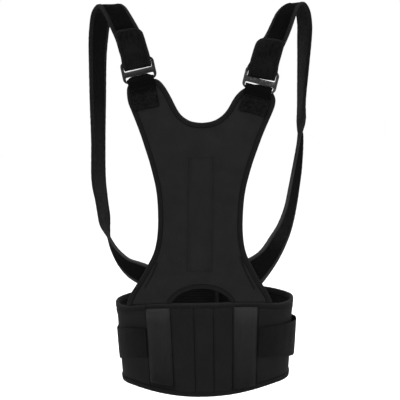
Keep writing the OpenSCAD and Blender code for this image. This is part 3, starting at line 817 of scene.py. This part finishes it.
# The tab's velour is a lit copy and the strap's a shaded copy of one velour: painted light and
# painted shade.
VELOUR, TAB_VELOUR = velour("velour_strap", 0.5, (430, 620)), velour("tab_velour", 1.3)
TAPE = ribbed_cloth("binding_tape", 0.0028, 0.0054, True, 1.5, 0.25, sheen=0.006, specular=0.035,
                    lit_fold=10)
WEBBING = ribbed_cloth("ribbed_webbing", 0.0004, 0.0016, True, 1.7, 0.45, 0.7, 0.003, 0.7, 0.02,
                       patch=28)
ELASTIC = ribbed_cloth("ribbed_elastic", 0.0017, 0.0046, False, 1.9, 0.5, 0.8, 0.006, 0.8, 0.03)
RIBBED = ribbed_cloth("ribbed_lining", 0.0004, 0.0078, False, 3.1, 1.2, 0.85, 0.015, 0.8, 0.06)
STRAP_TAPE_CLOTH = ribbed_cloth("strap_tape", 0.0014, 0.0042, True, 1.5, 0.25, sheen=0.004,
                                specular=0.02, lit_fold=7)
# The front runs' tapes carry a painted shade near the shoulder, fading out further down.
LOW_TAPE = {"left": ribbed_cloth("left_strap_tape", 0.0078, 0.0170, True, 1.5, 0.3, sheen=0.005,
                                 specular=0.025, lit_fold=7, shade_fade=(390, 520)),
            "right": ribbed_cloth("right_strap_tape", 0.0062, 0.0135, True, 1.5, 0.3,
                                  sheen=0.005, specular=0.025, lit_fold=7, shade_fade=(180, 330))}
THREAD, WORN_THREAD = thread("thread", 1), thread("worn_thread", 3.2)
HOOK, STEEL = hook_tape(), steel()
# The right buckle's plastic is a lit copy: painted lighter, with painted glints.
PLASTIC = {"left": moulded("moulded_plastic", 1.0), "right": moulded("glint_painted_plastic", 2.6)}
LOOP_PILE = ribbed_cloth("loop_pile", 0.003, 0.008, False, 1.2, 0.3, 0.96, 0.015, 1.1, 0.03)

# ---------------------------------------------------------------- back panel
BODY = "back"
BORDER = 9.0
SPINE_LOW, SPINE_HIGH, SPINE_HALF = 128.0, 320.0, 20.5
OUT_TAPE = 3.2


def panel_place(inset):
    """Spreads a grid over the panel's outline, this far inside it."""
    def place(f, k):
        foot_x = middle_x(76) + f * (half_width(76) - inset)
        low = belt_top(foot_x) + arch_z(foot_x) + inset * (arch_z(foot_x) > 0)
        high = lookup(f, TOP_HEIGHTS) - inset
        z = low + (high - low) * k
        return middle_x(z) + f * (half_width(z) - inset), z
    return place


# Where the straps are sewn behind the panel's flare.
ANCHORS = [resample(line, 2) for line in (
    [(-75, 142), (-76.8, 136), (-81, 126), (-86.5, 115), (-92, 105), (-96, 98)],
    [(64.5, 153), (66, 148), (69, 137), (73.5, 126), (79, 115), (84.5, 105), (88, 98)])]


def panel_height(x, z):
    """The padding's height: lower at the edges, beside the spine channel and at the anchors."""
    edge = np.minimum(gap_to(OUTLINE, x, z), gap_to(ARCH, x, z))
    high = 2.0 + 1.3 * (1 - np.exp(-np.maximum(edge - BORDER, 0) / 10))
    side = np.abs(x - middle_x(z))
    inside = ease((z - SPINE_LOW + 6) / 8) * ease((SPINE_HIGH + 6 - z) / 8)
    high = high - 1.3 * inside * np.exp(-((side - SPINE_HALF - 0.6) / 2.4) ** 2)
    high = high - 0.5 * inside * (side < SPINE_HALF)
    for line in ANCHORS:
        high = high - 1.9 * np.exp(-(gap_to(line, x, z) / 2.4) ** 2)
    return high + 0.22 * ripple(x, z, 42, 3) * ease((edge - BORDER) / 20)


panel_face = slab("panel_face", back, (-1, 1, 0.026), (0, 1, 0.0085), -0.4, panel_height, KNIT,
                  place=panel_place(2.0))
px, pz = np.array([v.co for v in panel_face.data.vertices])[:, 0::2].T * 1000
outer = np.arange(len(px)) < len(px) // 2
edge_gap = np.minimum(gap_to(OUTLINE, px, pz), gap_to(ARCH, px, pz))
spine_side = np.abs(px - middle_x(pz))
on_spine = (spine_side < SPINE_HALF + 2) & (pz > SPINE_LOW - 3) & (pz < SPINE_HIGH + 3)
on_anchor = np.minimum(*[gap_to(line, px, pz) for line in ANCHORS]) < 2.5
free = outer & (edge_gap > BORDER + 2) & ~on_spine & ~on_anchor & (pz > 84)
puff(panel_face, free, 1.5, 1.6, slack=0.004)
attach(panel_face, BODY)
declare(panel_face, ["back_panel"])

declare(slab("panel_inner", back, (-1, 1, 0.03), (0, 1, 0.011),
             lambda x, z: -2.4 - 0.15 * ripple(x, z, 30, 5), -0.5, LINING, BODY,
             place=panel_place(2.0)), ["panel_lining"])
declare(binding("panel_binding", back, OUTLINE, -1, folded_tape(BORDER, OUT_TAPE), TAPE, BODY, 11),
        ["left_edge_binding", "right_edge_binding", "neck_binding"])
declare(binding("arch_binding_tape", back, ARCH, 1, folded_tape(7, OUT_TAPE), TAPE, BODY, 12),
        ["arch_binding"])
for line, inset in ((OUTLINE[1:-1], -1.9), (OUTLINE[1:-1], 1.6 - BORDER), (ARCH, 5.4)):
    for off in (OUT_TAPE + 0.12, -OUT_TAPE - 0.12):
        sew("back", back, line[1:-1] + sideways(line)[1:-1] * inset, off)


# A cover sewn down along both sides, over what is in it.
def crown(k, power=6):
    return 1 - np.abs(2 * k - 1) ** power


def spine_height(x, z):
    k = np.clip((x - middle_x(z) + SPINE_HALF) / (2 * SPINE_HALF), 0, 1)
    ends = ease((z - SPINE_LOW) / 9) * ease((SPINE_HIGH - z) / 9)
    twin = 0.35 * np.exp(-((np.abs(x - middle_x(z)) - 7.5) / 5) ** 2)
    return 2.9 + (1.4 * crown(k, 4) + twin) * ends + 0.12 * ripple(x, z, 26, 8)


spine = slab("spine_channel_cover", back, (-SPINE_HALF, SPINE_HALF, 1.6),
             (SPINE_LOW, SPINE_HIGH, 2.6), 1.9, spine_height, KNIT, BODY, (2.2, 2.2),
             place=lambda u, v: (u + middle_x(v), v))
declare(spine, ["spine_channel"])
for side in (-1, 1):
    for inset in (1.6, 5.0):
        z = np.linspace(SPINE_LOW + 1, SPINE_HIGH - 1, 60)
        x = middle_x(z) + side * (SPINE_HALF - inset)
        sew("back", back, straight(x, z), spine_height(x, z).mean() + 0.05)
for z in (SPINE_LOW + 2, SPINE_LOW + 5.5, SPINE_HIGH - 2, SPINE_HIGH - 5.5):
    x = np.linspace(-SPINE_HALF + 2, SPINE_HALF - 2, 20) + middle_x(z)
    sew("back", back, straight(x, z), 3.25)
for line in ANCHORS:
    for off in (-0.7, 0.7):
        sew("back", back, line + np.array([off, off * 0.5]), 1.7, length=3.0, pitch=3.4, width=0.65)

# ---------------------------------------------------------------- belt
SEAM = at_x(95)
BACK_PIECE = -SEAM + 0.4, SEAM - 0.4
TAPE_H = 9.5


def belt_place(low_gap=2.0, top_gap=2.0):
    def place(s, k):
        low, high = belt_low(s) + low_gap, belt_top(s) - top_gap
        return s, low + (high - low) * k
    return place


def belt_face(name, s0, s1, wall, body, node, seams=(), seed=20):
    """The belt's padded outer layer between two places, drawn in at its seams."""
    def height(s, z):
        below = belt_top(s) - z
        high = 1.75 + 0.22 * ripple(s, z, 34, seed) + 1.3 * np.exp(-((below - 15.5) / 5.5) ** 2)
        for seam in seams:
            high = high - 0.8 * np.exp(-((s - seam) / 2.2) ** 2)
        return high
    piece = slab(name, on_belt(wall), (s0, s1, 3.2), (0, 1, 0.026), -0.4, height, BELT_KNIT,
                 body, (1.2, 0), belt_place())
    return declare(piece, [node])


belt_face("belt_back_face", *BACK_PIECE, None, BODY, "belt_back",
          [at_x(x) for x in (-52, -13, 20, 53)])


def lining(name, s0, s1, wall, material, body, node, ribs=True):
    """The belt's inner side: ribbed on the wings, and plain mesh on the back piece."""
    def low(s, z):
        rib = 0.36 * np.sin(z * 2 * math.pi / 3.1) if ribs else 0
        return -1.75 + rib + 0.2 * ripple(s, z, 30, 31)
    piece = slab(name, on_belt(wall), (s0, s1, 5), (0, 1, 0.0052 if ribs else 0.02), low, -0.5,
                 material, body, (1.0, 0), belt_place())
    return declare(piece, [node])


lining("belt_back_inner", *BACK_PIECE, None, LINING, BODY, "belt_lining", False)


def belt_binding(name, s0, s1, top, wall, body, nodes, seed, key=None):
    """Binding tape over the belt's top or bottom edge, with its row of stitches."""
    s = np.linspace(s0, s1, max(4, int(abs(s1 - s0) / 2.4)))
    path = np.stack([s, belt_top(s) if top else belt_low(s)], -1)
    piece = binding(name, on_belt(wall), path, -1 if top else 1,
                    folded_tape(TAPE_H, 2.95), TAPE, body, seed, 0.14)
    row = path[1:-1] + np.array([0, (1.7 - TAPE_H) * (1 if top else -1)])
    outer_rows = [row]
    if not top and not key:
        # The outer row stops where a stay can slide out.
        sewn = ((-SEAM, at_x(-91)), (at_x(-54), at_x(55)), (at_x(90.5), SEAM))
        outer_rows = [row[(row[:, 0] > a) & (row[:, 0] < b)] for a, b in sewn]
    for part in outer_rows:
        if len(part) > 2:
            sew(key or body, on_belt(wall), part, 3.1)
    sew(key or body, on_belt(wall), row, -3.1)
    return declare(piece, nodes)


belt_binding("belt_back_top_tape", *BACK_PIECE, True, None, BODY, ["belt_top_binding"], 41)
belt_binding("belt_back_bottom_tape", *BACK_PIECE, False, None, BODY, ["belt_bottom_binding"], 42)


def cover(name, x0, x1, lift, thick, power, seed, material, nodes=(), ribs=0.0,
          leans=(0, 0), mouth=0.0):
    """A pocket or channel sewn on the belt, standing up over what is in it. leans move its
    two seams at the bottom, and mouth leaves its lower end open that much."""
    ends = at_x(x0), at_x(x1)
    width, inset, hem = ends[1] - ends[0], 2.4, 8.2

    def seam(z, number):
        s = ends[number]
        return s + leans[number] * (1 - (z - belt_low(s)) / (belt_top(s) - belt_low(s)))

    def place(u, k):
        z = belt_place(hem + mouth, hem)(ends[0] + width * u, k)[1]
        return seam(z, 0) + (seam(z, 1) - seam(z, 0)) * u, z

    def shape(s, z):
        k = np.clip((s - seam(z, 0)) / (seam(z, 1) - seam(z, 0)), 0, 1)
        below, above = belt_top(s) - z, z - belt_low(s)
        full = 0.5 + 0.5 * ease((below - 8) / 6)
        swell = 1.1 * np.exp(-((below - 16) / 6) ** 2)
        if mouth:
            swell = swell + min(2.2, mouth) * np.exp(-((above - mouth - 8) / 8) ** 2)
        else:
            full = full * (0.55 + 0.45 * ease((above - 8) / 10))
        wrinkle = 0.3 * ripple(s * 1.6, z, 26, seed) + 0.12 * ripple(s, z * 0.3, 7, seed + 1)
        ridge = ribs * np.sin(s * 2 * math.pi / 3.0)
        return 2.05 + thick + (lift * full + swell + wrinkle + ridge) * crown(k, power)

    def inner(s, z):
        return shape(s, z) - 1.3 - thick * 0.5
    piece = slab(name, on_belt(), (0, 1, 1.5 / width), (0, 1, 0.02), inner if mouth else 1.2, shape,
                 material, BODY, (2.4 / width, 0), place)
    z = np.linspace(belt_low(0.0) + 14, belt_top(0.0) - 9.5, 40)
    for number, side in ((0, 1), (1, -1)):
        sew("back", on_belt(), np.stack([seam(z, number) + side * inset, z], -1),
            2.1 + thick + lift * 0.9 * crown(inset / width, power))
    return declare(piece, nodes)


LEFT_LEAN, MIDDLE_LEAN = 3.2, 1.0
cover("left_satin_pocket", -94.6, -53.5, 2.9, 1.2, 6, 51, SATIN,
      ["left_stay_pocket"], 0.10, (1.0, LEFT_LEAN), 9)
cover("right_satin_pocket", 53, 92.6, 2.9, 1.2, 6, 55, SATIN,
      ["right_stay_pocket"], 0.16, mouth=0.6)
for number, (x0, x1, leans, nodes) in enumerate([
        (-53, -13.9, (LEFT_LEAN, MIDDLE_LEAN), []),
        (-13.1, 19.1, (MIDDLE_LEAN, MIDDLE_LEAN), ["centre_channels"]),
        (19.9, 52.5, (MIDDLE_LEAN, 0), [])]):
    cover(f"belt_channel_{number}", x0, x1, 1.3, 0.6, 4, 60 + number, BELT_KNIT,
          nodes, 0, leans)

# ---------------------------------------------------------------- wings
LEFT_TIP = along(-(180 + float(ring_angle(24))))
RIGHT_TIP = along(180 + float(ring_angle(44)))
PULL_TIP = along(180 + float(ring_angle(60)))


def bend(piece, name):
    """For cloth that crosses a side seam: bakes the piece's transform into its mesh."""
    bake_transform(piece)


def wing(name, side, tip, wall, seed):
    s0, s1 = sorted([side * SEAM, tip])
    face = belt_face(f"{name}_wing_face", s0, s1, wall, None, f"{name}_wing", (), seed)
    inner = lining(f"{name}_wing_inner", s0, s1, wall, RIBBED, None, f"{name}_wing_lining")
    top = belt_binding(f"{name}_wing_top_tape", s0, s1, True, wall, None,
                       [f"{name}_wing_bindings"], seed + 1, name)
    bottom = belt_binding(f"{name}_wing_bottom_tape", s0, s1, False, wall, None, [], seed + 2, name)
    path = straight(tip, np.linspace(belt_low(tip) + 3.5, belt_top(tip) - 3.5, 60))
    end = binding(f"{name}_wing_end_tape", on_belt(wall), path, side, folded_tape(8.5, 2.75), TAPE,
                  None, seed + 3, 0.14)
    for off in (2.9, -2.9):
        sew(name, on_belt(wall), path - np.array([side * 6.8, 0]), off)
    for piece in (face, inner, top, bottom, declare(end)):
        bend(piece, name)


def seam_tape(name, middle):
    """Tape sewn over the inside of a side seam."""
    tape = slab(f"{name}_seam_tape", on_belt(), (middle - 5.5, middle + 5.5, 1.1),
                (0, 1, 0.03), -2.95, -2.0, TAPE, None, (1.0, 0.02), belt_place(8.5, 8.5))
    for row in (-3.6, 3.6):
        z = np.linspace(belt_low(middle) + 9.5, belt_top(middle) - 9.5, 40)
        sew(name, on_belt(), straight(middle + row, z), -3.0)
    bend(declare(tape), name)


seam_tape("left", -SEAM)
seam_tape("right", SEAM)
wing("left", -1, LEFT_TIP, tuck, 70)
wing("right", 1, RIGHT_TIP, None, 80)


def patch(name, s0, s1, z0, z1, low, high, wall, material, body, node, slot, rim=0.6):
    piece = slab(name, on_belt(wall), (s0, s1, 3), (z0, z1, 3), low,
                 lambda s, z: high + 0.08 * ripple(s, z, 20, 90), material, body, (rim, rim))
    declare(piece, [node])


patch("front_loop_pad", LEFT_TIP + 3, along(-180 + float(ring_angle(38))), -52, 50, 1.7, 3.0,
      tuck, LOOP_PILE, "left_wing_body", "front_loop_patch", "loop_pile")
patch("front_hook_pad", along(180 - float(ring_angle(22))), RIGHT_TIP - 3, -52, 50, -3.0, -1.7,
      None, HOOK, "right_wing_body", "front_hook_patch", "hook_tape")
patch("front_pull_tab", RIGHT_TIP - 6, PULL_TIP, -18, 22, -0.9, 0.9, None, WEBBING,
      "right_wing_body", "pull_tab", "ribbed_webbing", 0.8)

# ---------------------------------------------------------------- side straps
SIDE_START = at_x(95.6)


def side_edges(s, left):
    """Where a side strap's lower and upper edges run, this far along the belt."""
    t = np.abs(angle_of(s))
    if left:
        return (eased(t, [(40, -20), (85, -38), (150, -36)]),
                eased(t, [(40, 29), (85, 16), (150, 18)]))
    return (eased(t, [(40, -18), (85, -30), (150, -30)]),
            eased(t, [(40, 33), (85, 33), (150, 30)]))


def peel(piece, name):
    """For a side strap, which starts behind the wing's own seam: bakes the piece's transform into
    its mesh.
    """
    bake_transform(piece)


def side_strap(name, side, front, tab_end, wall, seed):
    """An elastic strap over a wing, from its seam to the front, with its hook tab behind."""
    s0, s1 = sorted([side * SIDE_START, front])

    def place(s, k):
        low, high = side_edges(s, side < 0)
        return s, low + (high - low) * k

    def height(s, z):
        return 4.9 + 0.35 * ripple(s, z * 0.3, 26, seed) * ease((np.abs(s) - SIDE_START) / 20)
    strap = slab(f"{name}_side_elastic", on_belt(wall), (s0, s1, 2.6), (0, 1, 0.03),
                 lambda s, z: height(s, z) - 1.6, height, ELASTIC, None, (0.9, 0.016), place)
    declare(strap, [f"{name}_side_strap"])
    for row in (2.2, 5.2, 8.4):
        s = side * (SIDE_START + row)
        low, high = side_edges(s, side < 0)
        path = straight(s, np.linspace(low + 2, high - 2, 20))
        sew(f"{name}_side", on_belt(wall), path, 5.0, width=0.5)
    ends = sorted([front - side * 4, tab_end])
    tab = slab(f"{name}_side_tab", on_belt(wall), (ends[0], ends[1], 2.5), (0.07, 0.93, 0.04), 2.9,
               4.4, HOOK, f"{name}_side", (0.8, 0.03), place)
    declare(tab, [f"{name}_side_hook_tab"])
    peel(strap, name)


side_strap("left", -1, along(-146), along(-153), tuck, 95)
side_strap("right", 1, along(152), along(162), stand_off, 97)

# ---------------------------------------------------------------- buckles
LEAN = math.radians(7)


class Slider:
    """A buckle's own frame: x along its lower bar, y towards the wearer, z up the strap."""

    def __init__(self, bar, roll):
        r, l = math.radians(roll), LEAN
        turn_roll = np.array([[math.cos(r), 0, math.sin(r)], [0, 1, 0],
                              [-math.sin(r), 0, math.cos(r)]])
        turn_lean = np.array([[1, 0, 0], [0, math.cos(l), math.sin(l)],
                              [0, -math.sin(l), math.cos(l)]])
        self.turn, self.bar = turn_roll @ turn_lean, np.array(bar)

    def __call__(self, points):
        return np.asarray(points, float) @ self.turn.T + self.bar


# Where a strap curls as it turns edge on: the place along it, over what length, how far, and
# how much thicker it gets.
CURLS = {"left": (578, 26, 5.6, 0.75), "right": (398, 26, -4.4, 0.7)}
SLIDERS = {"left": Slider((-101.2, -97.5, 446.3), -13), "right": Slider((93.1, -97.5, 430.3), 14)}
ROUTES = {"left": LEFT_ROUTE, "right": RIGHT_ROUTE}


def rounded_loop(x0, x1, z0, z1, radius, steps=6):
    """A rectangle with round corners."""
    corners = [(x1, z1, 0), (x0, z1, 90), (x0, z0, 180), (x1, z0, 270)]
    out = []
    for x, z, start in corners:
        cx = x - math.copysign(radius, x - (x0 + x1) / 2)
        cz = z - math.copysign(radius, z - (z0 + z1) / 2)
        for i in range(steps + 1):
            a = math.radians(start + 90 * i / steps)
            out.append((cx + radius * math.cos(a), cz + radius * math.sin(a)))
    return out


def make_buckle(side):
    """A slide buckle: a rounded frame with three bars, its edges moulded round."""
    curve = bpy.data.curves.new(f"{side}_slide_buckle", "CURVE")
    curve.dimensions = "2D"
    curve.fill_mode = "BOTH"
    bevel = 1.15
    loops = [rounded_loop(-28.5 + bevel, 28.5 - bevel, -2.2 + bevel, 35.95 - bevel, 8, 12),
             rounded_loop(-23.6 - bevel, 23.6 + bevel, 2.2 - bevel, 8.7 + bevel, 1.9 + bevel),
             rounded_loop(-23.6 - bevel, 23.6 + bevel, 17.7 - bevel, 31.6 + bevel, 2.1 + bevel)]
    for loop in loops:
        spline = curve.splines.new("POLY")
        spline.points.add(len(loop) - 1)
        for point, (x, z) in zip(spline.points, loop):
            point.co = (x, z, 0, 1)
        spline.use_cyclic_u = True
    curve.extrude, curve.bevel_depth, curve.bevel_resolution = 2.0 - bevel, bevel, 4
    plate = bpy.data.objects.new("plate", curve)
    scene.collection.objects.link(plate)
    bpy.context.view_layer.update()
    made = plate.evaluated_get(bpy.context.evaluated_depsgraph_get()).to_mesh()
    flat = np.array([v.co for v in made.vertices])
    faces = [list(p.vertices) for p in made.polygons]
    bpy.data.objects.remove(plate)
    local = np.stack([flat[:, 0], -flat[:, 2], flat[:, 1]], -1)
    piece = add_mesh(f"{side}_slide_buckle", SLIDERS[side](local), faces, PLASTIC[side],
                     f"{side}_slider")
    weld = piece.modifiers.new("Weld", "WELD")
    weld.merge_threshold = 0.00001
    declare(piece, [f"{side}_buckle"])


WEB_W = 44.0
PATCHES = {"left": (-98.8, 436.8, 11, 38), "right": (90.6, 421, -15, 31)}
COLUMNS = np.linspace(-WEB_W / 2, WEB_W / 2, 15)


def slack(side, u):
    """How far the webbing's loop stands up above the lower bar, across its width."""
    if side == "left":
        return 4.6 * ease((21.5 - np.abs(u + 1)) / 9)
    return 2.6 + 2.0 * ease((u + 8) / 8) - 0.6 * ease((u - 19) / 4)


def sew_box(key, surface, half, near, far, off):
    """A box of stitches with a cross in it."""
    box = [(-half, near), (half, near), (half, far), (-half, far), (-half, near), (half, far)]
    for path in (box, [(-half, far), (half, near)]):
        sew(key, surface, np.array(path, float), off, width=0.5)


def webbing(side):
    """Webbing sewn flat on the panel, up round the buckle's lower bar and down again."""
    x, z, roll, length = PATCHES[side]
    slider, r = SLIDERS[side], math.radians(roll)

    def on_patch(u, v, off=0.0):
        return back(x + u * math.cos(r) + v * math.sin(r), z + u * math.sin(r) - v * math.cos(r),
                    off)
    down, round_bar = np.linspace(length, 1.5, 9), 3.3
    rows = [on_patch(COLUMNS, v, 3.35) for v in down]
    for angle in np.radians(np.linspace(35, -215, 16)):
        over = max(0, -math.sin(angle))
        up = -round_bar * math.sin(angle) + slack(side, COLUMNS) * over ** 0.7
        y = np.full_like(up, round_bar * math.cos(angle))
        rows.append(slider(np.stack([COLUMNS * (1 + 0.035 * over), y, up], -1)))
    rows += [on_patch(COLUMNS, v, 4.9) for v in down[::-1]]
    ribbon = Ribbon(rows[::-1], WEB_W)
    piece = slab(f"{side}_webbing", ribbon, (-WEB_W / 2, WEB_W / 2, 1.5), (0, ribbon.length, 1.2),
                 -0.72, 0.72, WEBBING, BODY, (0.7, 0.5))
    declare(piece, [f"{side}_webbing_loop", f"{side}_webbing_patch"])
    inset = 3.0
    sew_box("back", on_patch, WEB_W / 2 - inset, 3.5, length - inset, 5.75)


# ---------------------------------------------------------------- shoulder straps
STRAP_TAPE, STRAP_HALF, SPLIT = 6.8, STRAP_W / 2, 7.0


def ride_top(piece, side):
    """For the top of a strap: bakes the piece's transform into its mesh. The two places it finds on
    the route are not used.
    """
    route = Ribbon(ROUTES[side])
    near, far = (route(0.0, route.station(number)) / 1000 for number in (2.7, 6.6))
    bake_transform(piece)


def strap_piece(side, front, ribbon, l0, l1, nodes, edging):
    """A padded strap with binding tape down both edges."""
    name = f"{side}_strap_{'front' if front else 'top'}"
    key, seed = "front" if front else f"{side}_top", 120

    def high(w, l):
        padding = 1.75 + 0.35 * crown((w + STRAP_HALF) / STRAP_W, 4)
        return padding + 0.2 * ripple(w, l * 0.5, 24, seed)
    pad = slab(name, ribbon, (-21.5, 21.5, 2.2), (l0, l1, 3.2), lambda w, l: -high(w, l), high,
               VELOUR, None, (1.2, 0), inside=STRAP_LINING[side])
    parts = [declare(pad, nodes[:1])]
    l = np.linspace(l0, l1, max(6, int((l1 - l0) / 2.4)))
    for edge, edge_nodes in ((-1, nodes[1:]), (1, [])):
        tape = binding(f"{name}_tape_{'left' if edge < 0 else 'right'}", ribbon,
                       straight(edge * STRAP_HALF, l), edge, folded_tape(STRAP_TAPE, 2.35),
                       edging, None, seed + edge, 0.2)
        parts.append(declare(tape, edge_nodes))
        for off in (2.5, -2.5):
            sew(key, ribbon, straight(edge * (STRAP_HALF - STRAP_TAPE + 1.3), l)[1:-1], off)
    if front:
        end = binding(f"{name}_end_tape", ribbon, straight(np.linspace(-22.3, 22.3, 24), l1), -1,
                      folded_tape(8, 2.6), edging, None, seed + 2, 0.15)
        parts.append(declare(end))
        sew_box(key, ribbon, 14, l1 - 11, l1 - 31, -2.35)
    for part in parts:
        if front:
            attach(part, BODY)
        else:
            ride_top(part, side)


TAB_HALF = 23.3
# How far each end of the tab dips round the bar, how far the tab bulges out and lies aside.
TABS = {"left": ((-0.2, -1.3), 0.0, 1.4), "right": ((-3.4, 0.1), 2.4, -1.4)}


def tab_pairs(side):
    """The strap's end from behind the upper bar, round it, and up the front as the tab."""
    slider, half = SLIDERS[side], TAB_HALF
    dips, bulge, aside = TABS[side]
    pairs = [slider([(-half, 4.75, up), (half, 4.75, up)]) for up in (40.0, 37.5, 35.0, 32.0, 29.0)]
    for angle in np.radians(np.linspace(-20, -160, 7)):
        y, up = 4.6 * math.cos(angle), 26.6 + (4.6 - np.array(dips)) * math.sin(angle)
        pairs.append(slider([(-half, y, up[0]), (half, y, up[1])]))
    for up in (28.5, 31.5):
        wide = half + 1.3 * ease((up - 27) / 4)
        out = bulge * float(ease((up - 27) / 4))
        pairs.append(slider([(-wide - out, -4.75, up), (wide, -4.75, up)]))
    ribbon = Ribbon(ROUTES[side])
    for number in np.linspace(0.12, 2.62, 13):
        l = ribbon.station(number)
        off = 3.1 + 5.5 * float(ease(1 - number / 1.3)) + 1.75
        shift = aside * float(ease(number / 0.9))
        ends = ribbon(np.array([-22.0, 22.0]), np.full(2, l), np.full(2, off))
        way = unit(ends[1] - ends[0])
        wide = half + 0.7 + 0.6 * float(ease(1 - number / 0.9))
        out = bulge * float(ease(1 - number / 0.6))
        pairs.append(ends.mean(0) + np.outer([shift - wide - out, shift + wide], way))
    return pairs


def ride_tab(piece, side):
    """For the folded end of a strap: bakes the piece's transform into its mesh. The two places it
    finds by the buckle are not used.
    """
    near, far = SLIDERS[side]([(0, 0, 35.0), (0, 0, 52.0)]) / 1000
    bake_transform(piece)


def make_tab(side):
    """The folded end of the strap, with its round tip and its stitched border."""
    ribbon = Ribbon(tab_pairs(side), 2 * TAB_HALF)
    length, corner = ribbon.length, 14.0

    def half(l):
        past = np.clip((l - (length - corner)) / corner, 0, 1)
        return TAB_HALF - 0.3 - 11.5 * (1 - np.sqrt(np.clip(1 - past ** 2, 0, 1)))

    def place(u, l):
        return u * half(l), l

    def height(w, l):
        border = np.minimum(half(l) - np.abs(w), length - l)
        return 1.35 + 0.75 * ease((border - 4.5) / 3) + 0.18 * ripple(w, l, 15, 7)
    pad = slab(f"{side}_tab_pad", ribbon, (-1, 1, 0.075), (0, length - 0.4, 1.7),
               lambda w, l: -height(w, l) * 0.75, height, TAB_VELOUR, None, (0.05, 0.9), place)
    l = np.linspace(0.6, length - corner, 50)
    round_l = length - corner + corner * np.sin(np.linspace(0, math.pi / 2, 14))
    left = np.concatenate([np.stack([-half(l), l], -1), np.stack([-half(round_l), round_l], -1)])
    right = left[::-1] * np.array([-1, 1])
    path = resample(np.concatenate([left, right]), 1.6, 1.6)
    tape = binding(f"{side}_tab_tape", ribbon, path, -1, folded_tape(6.2, 1.95, -1.6),
                   STRAP_TAPE_CLOTH, None, 33, 0.12)
    for inset in (1.5, 5.0):
        sew(f"{side}_tab", ribbon, path[1:-1] - sideways(path)[1:-1] * inset, 2.1)
    for l0 in (23.5, 27.0):
        sew(f"{side}_tab", ribbon, straight(np.linspace(-15, 15, 12), l0), 2.0)
    ride_tab(declare(pad, [f"{side}_strap_tab"]), side)
    ride_tab(declare(tape), side)
    main = Ribbon(ROUTES[side])
    hook = slab(f"{side}_tab_hooks", main, (-15.2, 15.2, 2.5),
                (main.station(0.9), main.station(2.4), 2.5), 2.55,
                lambda w, l: 3.3 + 5.5 * ease(1 - (l / main.station(1)) / 1.3), HOOK,
                f"{side}_tab", (0.4, 0.4))
    declare(hook, [f"{side}_tab_hook"])


for side in ("left", "right"):
    make_buckle(side)
    webbing(side)
    route = Ribbon(ROUTES[side])
    route.curl = CURLS[side]
    cut, low_end = route.station(SPLIT), route.station(len(ROUTES[side]) - 1) - 1
    strap_piece(side, True, route, cut, low_end,
                [f"{side}_shoulder_strap", f"{side}_strap_binding"], LOW_TAPE[side])
    strap_piece(side, False, route, 1.5, cut, [f"{side}_strap_fold"], STRAP_TAPE_CLOTH)
    make_tab(side)

# ---------------------------------------------------------------- thread
for key in STITCHES:
    piece = declare(make_stitches(key, WORN_THREAD if key == "front" else THREAD))
    side, _, part = key.partition("_")
    if key in ("back", "front"):
        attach(piece, BODY)
    else:
        {"": bend, "side": peel, "top": ride_top, "tab": ride_tab}[part](piece, side)

# CAD nodes that stay: the stays.
for name in ("spine_stays", "centre_stays", "left_belt_stay", "right_belt_stay"):
    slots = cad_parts[name].data.materials
    if not slots:
        slots.append(STEEL)
    for i in range(len(slots)):
        slots[i] = STEEL

# ---------------------------------------------------------------- studio
FLOOR = 20000.0
floor = add_mesh("floor", [(-FLOOR, -FLOOR, 0), (FLOOR, -FLOOR, 0), (FLOOR, FLOOR, 0),
                           (-FLOOR, FLOOR, 0)], [[0, 1, 2, 3]],
                 Nodes("pale_floor").finish(grey(0.92), 0.9, specular=0.1), flat=True)
floor.location = (0, 0, -0.2)


def aim(way):
    return Vector(way).to_track_quat("-Z", "Y").to_euler()


def add_light(name, at, target, size, watts):
    data = bpy.data.lights.new(name, "AREA")
    data.shape, data.size, data.energy = "DISK", size, watts
    light = bpy.data.objects.new(name, data)
    light.location = at
    light.rotation_euler = aim(unit(np.subtract(target, at)))
    scene.collection.objects.link(light)


world = bpy.data.worlds.new("studio")
world.use_nodes = True
backdrop = world.node_tree.nodes["Background"].inputs
backdrop["Color"].default_value = (1, 1, 1, 1)
backdrop["Strength"].default_value = 1.0
scene.world = world
add_light("key", (-0.9, -1.9, 1.9), (0, 0, 0.25), 1.0, 50)
add_light("fill", (1.6, -1.5, 1.0), (0, 0, 0.2), 1.2, 22)
add_light("top", (0.2, 0.2, 2.4), (0, 0, 0.3), 1.4, 60)
sun = bpy.data.objects.new("sky", bpy.data.lights.new("sky", "SUN"))
sun.data.energy, sun.data.angle = 0.5, math.radians(80)
sun.rotation_euler = (math.radians(20), 0, 0)
scene.collection.objects.link(sun)
scene.view_settings.view_transform = "Standard"

# The camera stands behind the wearer, a little to the right and above.
YAW, PITCH, DISTANCE = math.radians(2.5), math.radians(4), 1.65
look = np.array([-math.sin(YAW) * math.cos(PITCH), math.cos(YAW) * math.cos(PITCH),
                 -math.sin(PITCH)])
camera = bpy.data.objects.new("camera", bpy.data.cameras.new("camera"))
camera.data.lens, camera.data.sensor_width = 84, 36
camera.data.shift_x = -0.01075
camera.location = np.array([0, 0, 0.241]) - look * DISTANCE
camera.rotation_euler = aim(look)
scene.collection.objects.link(camera)
scene.camera = camera
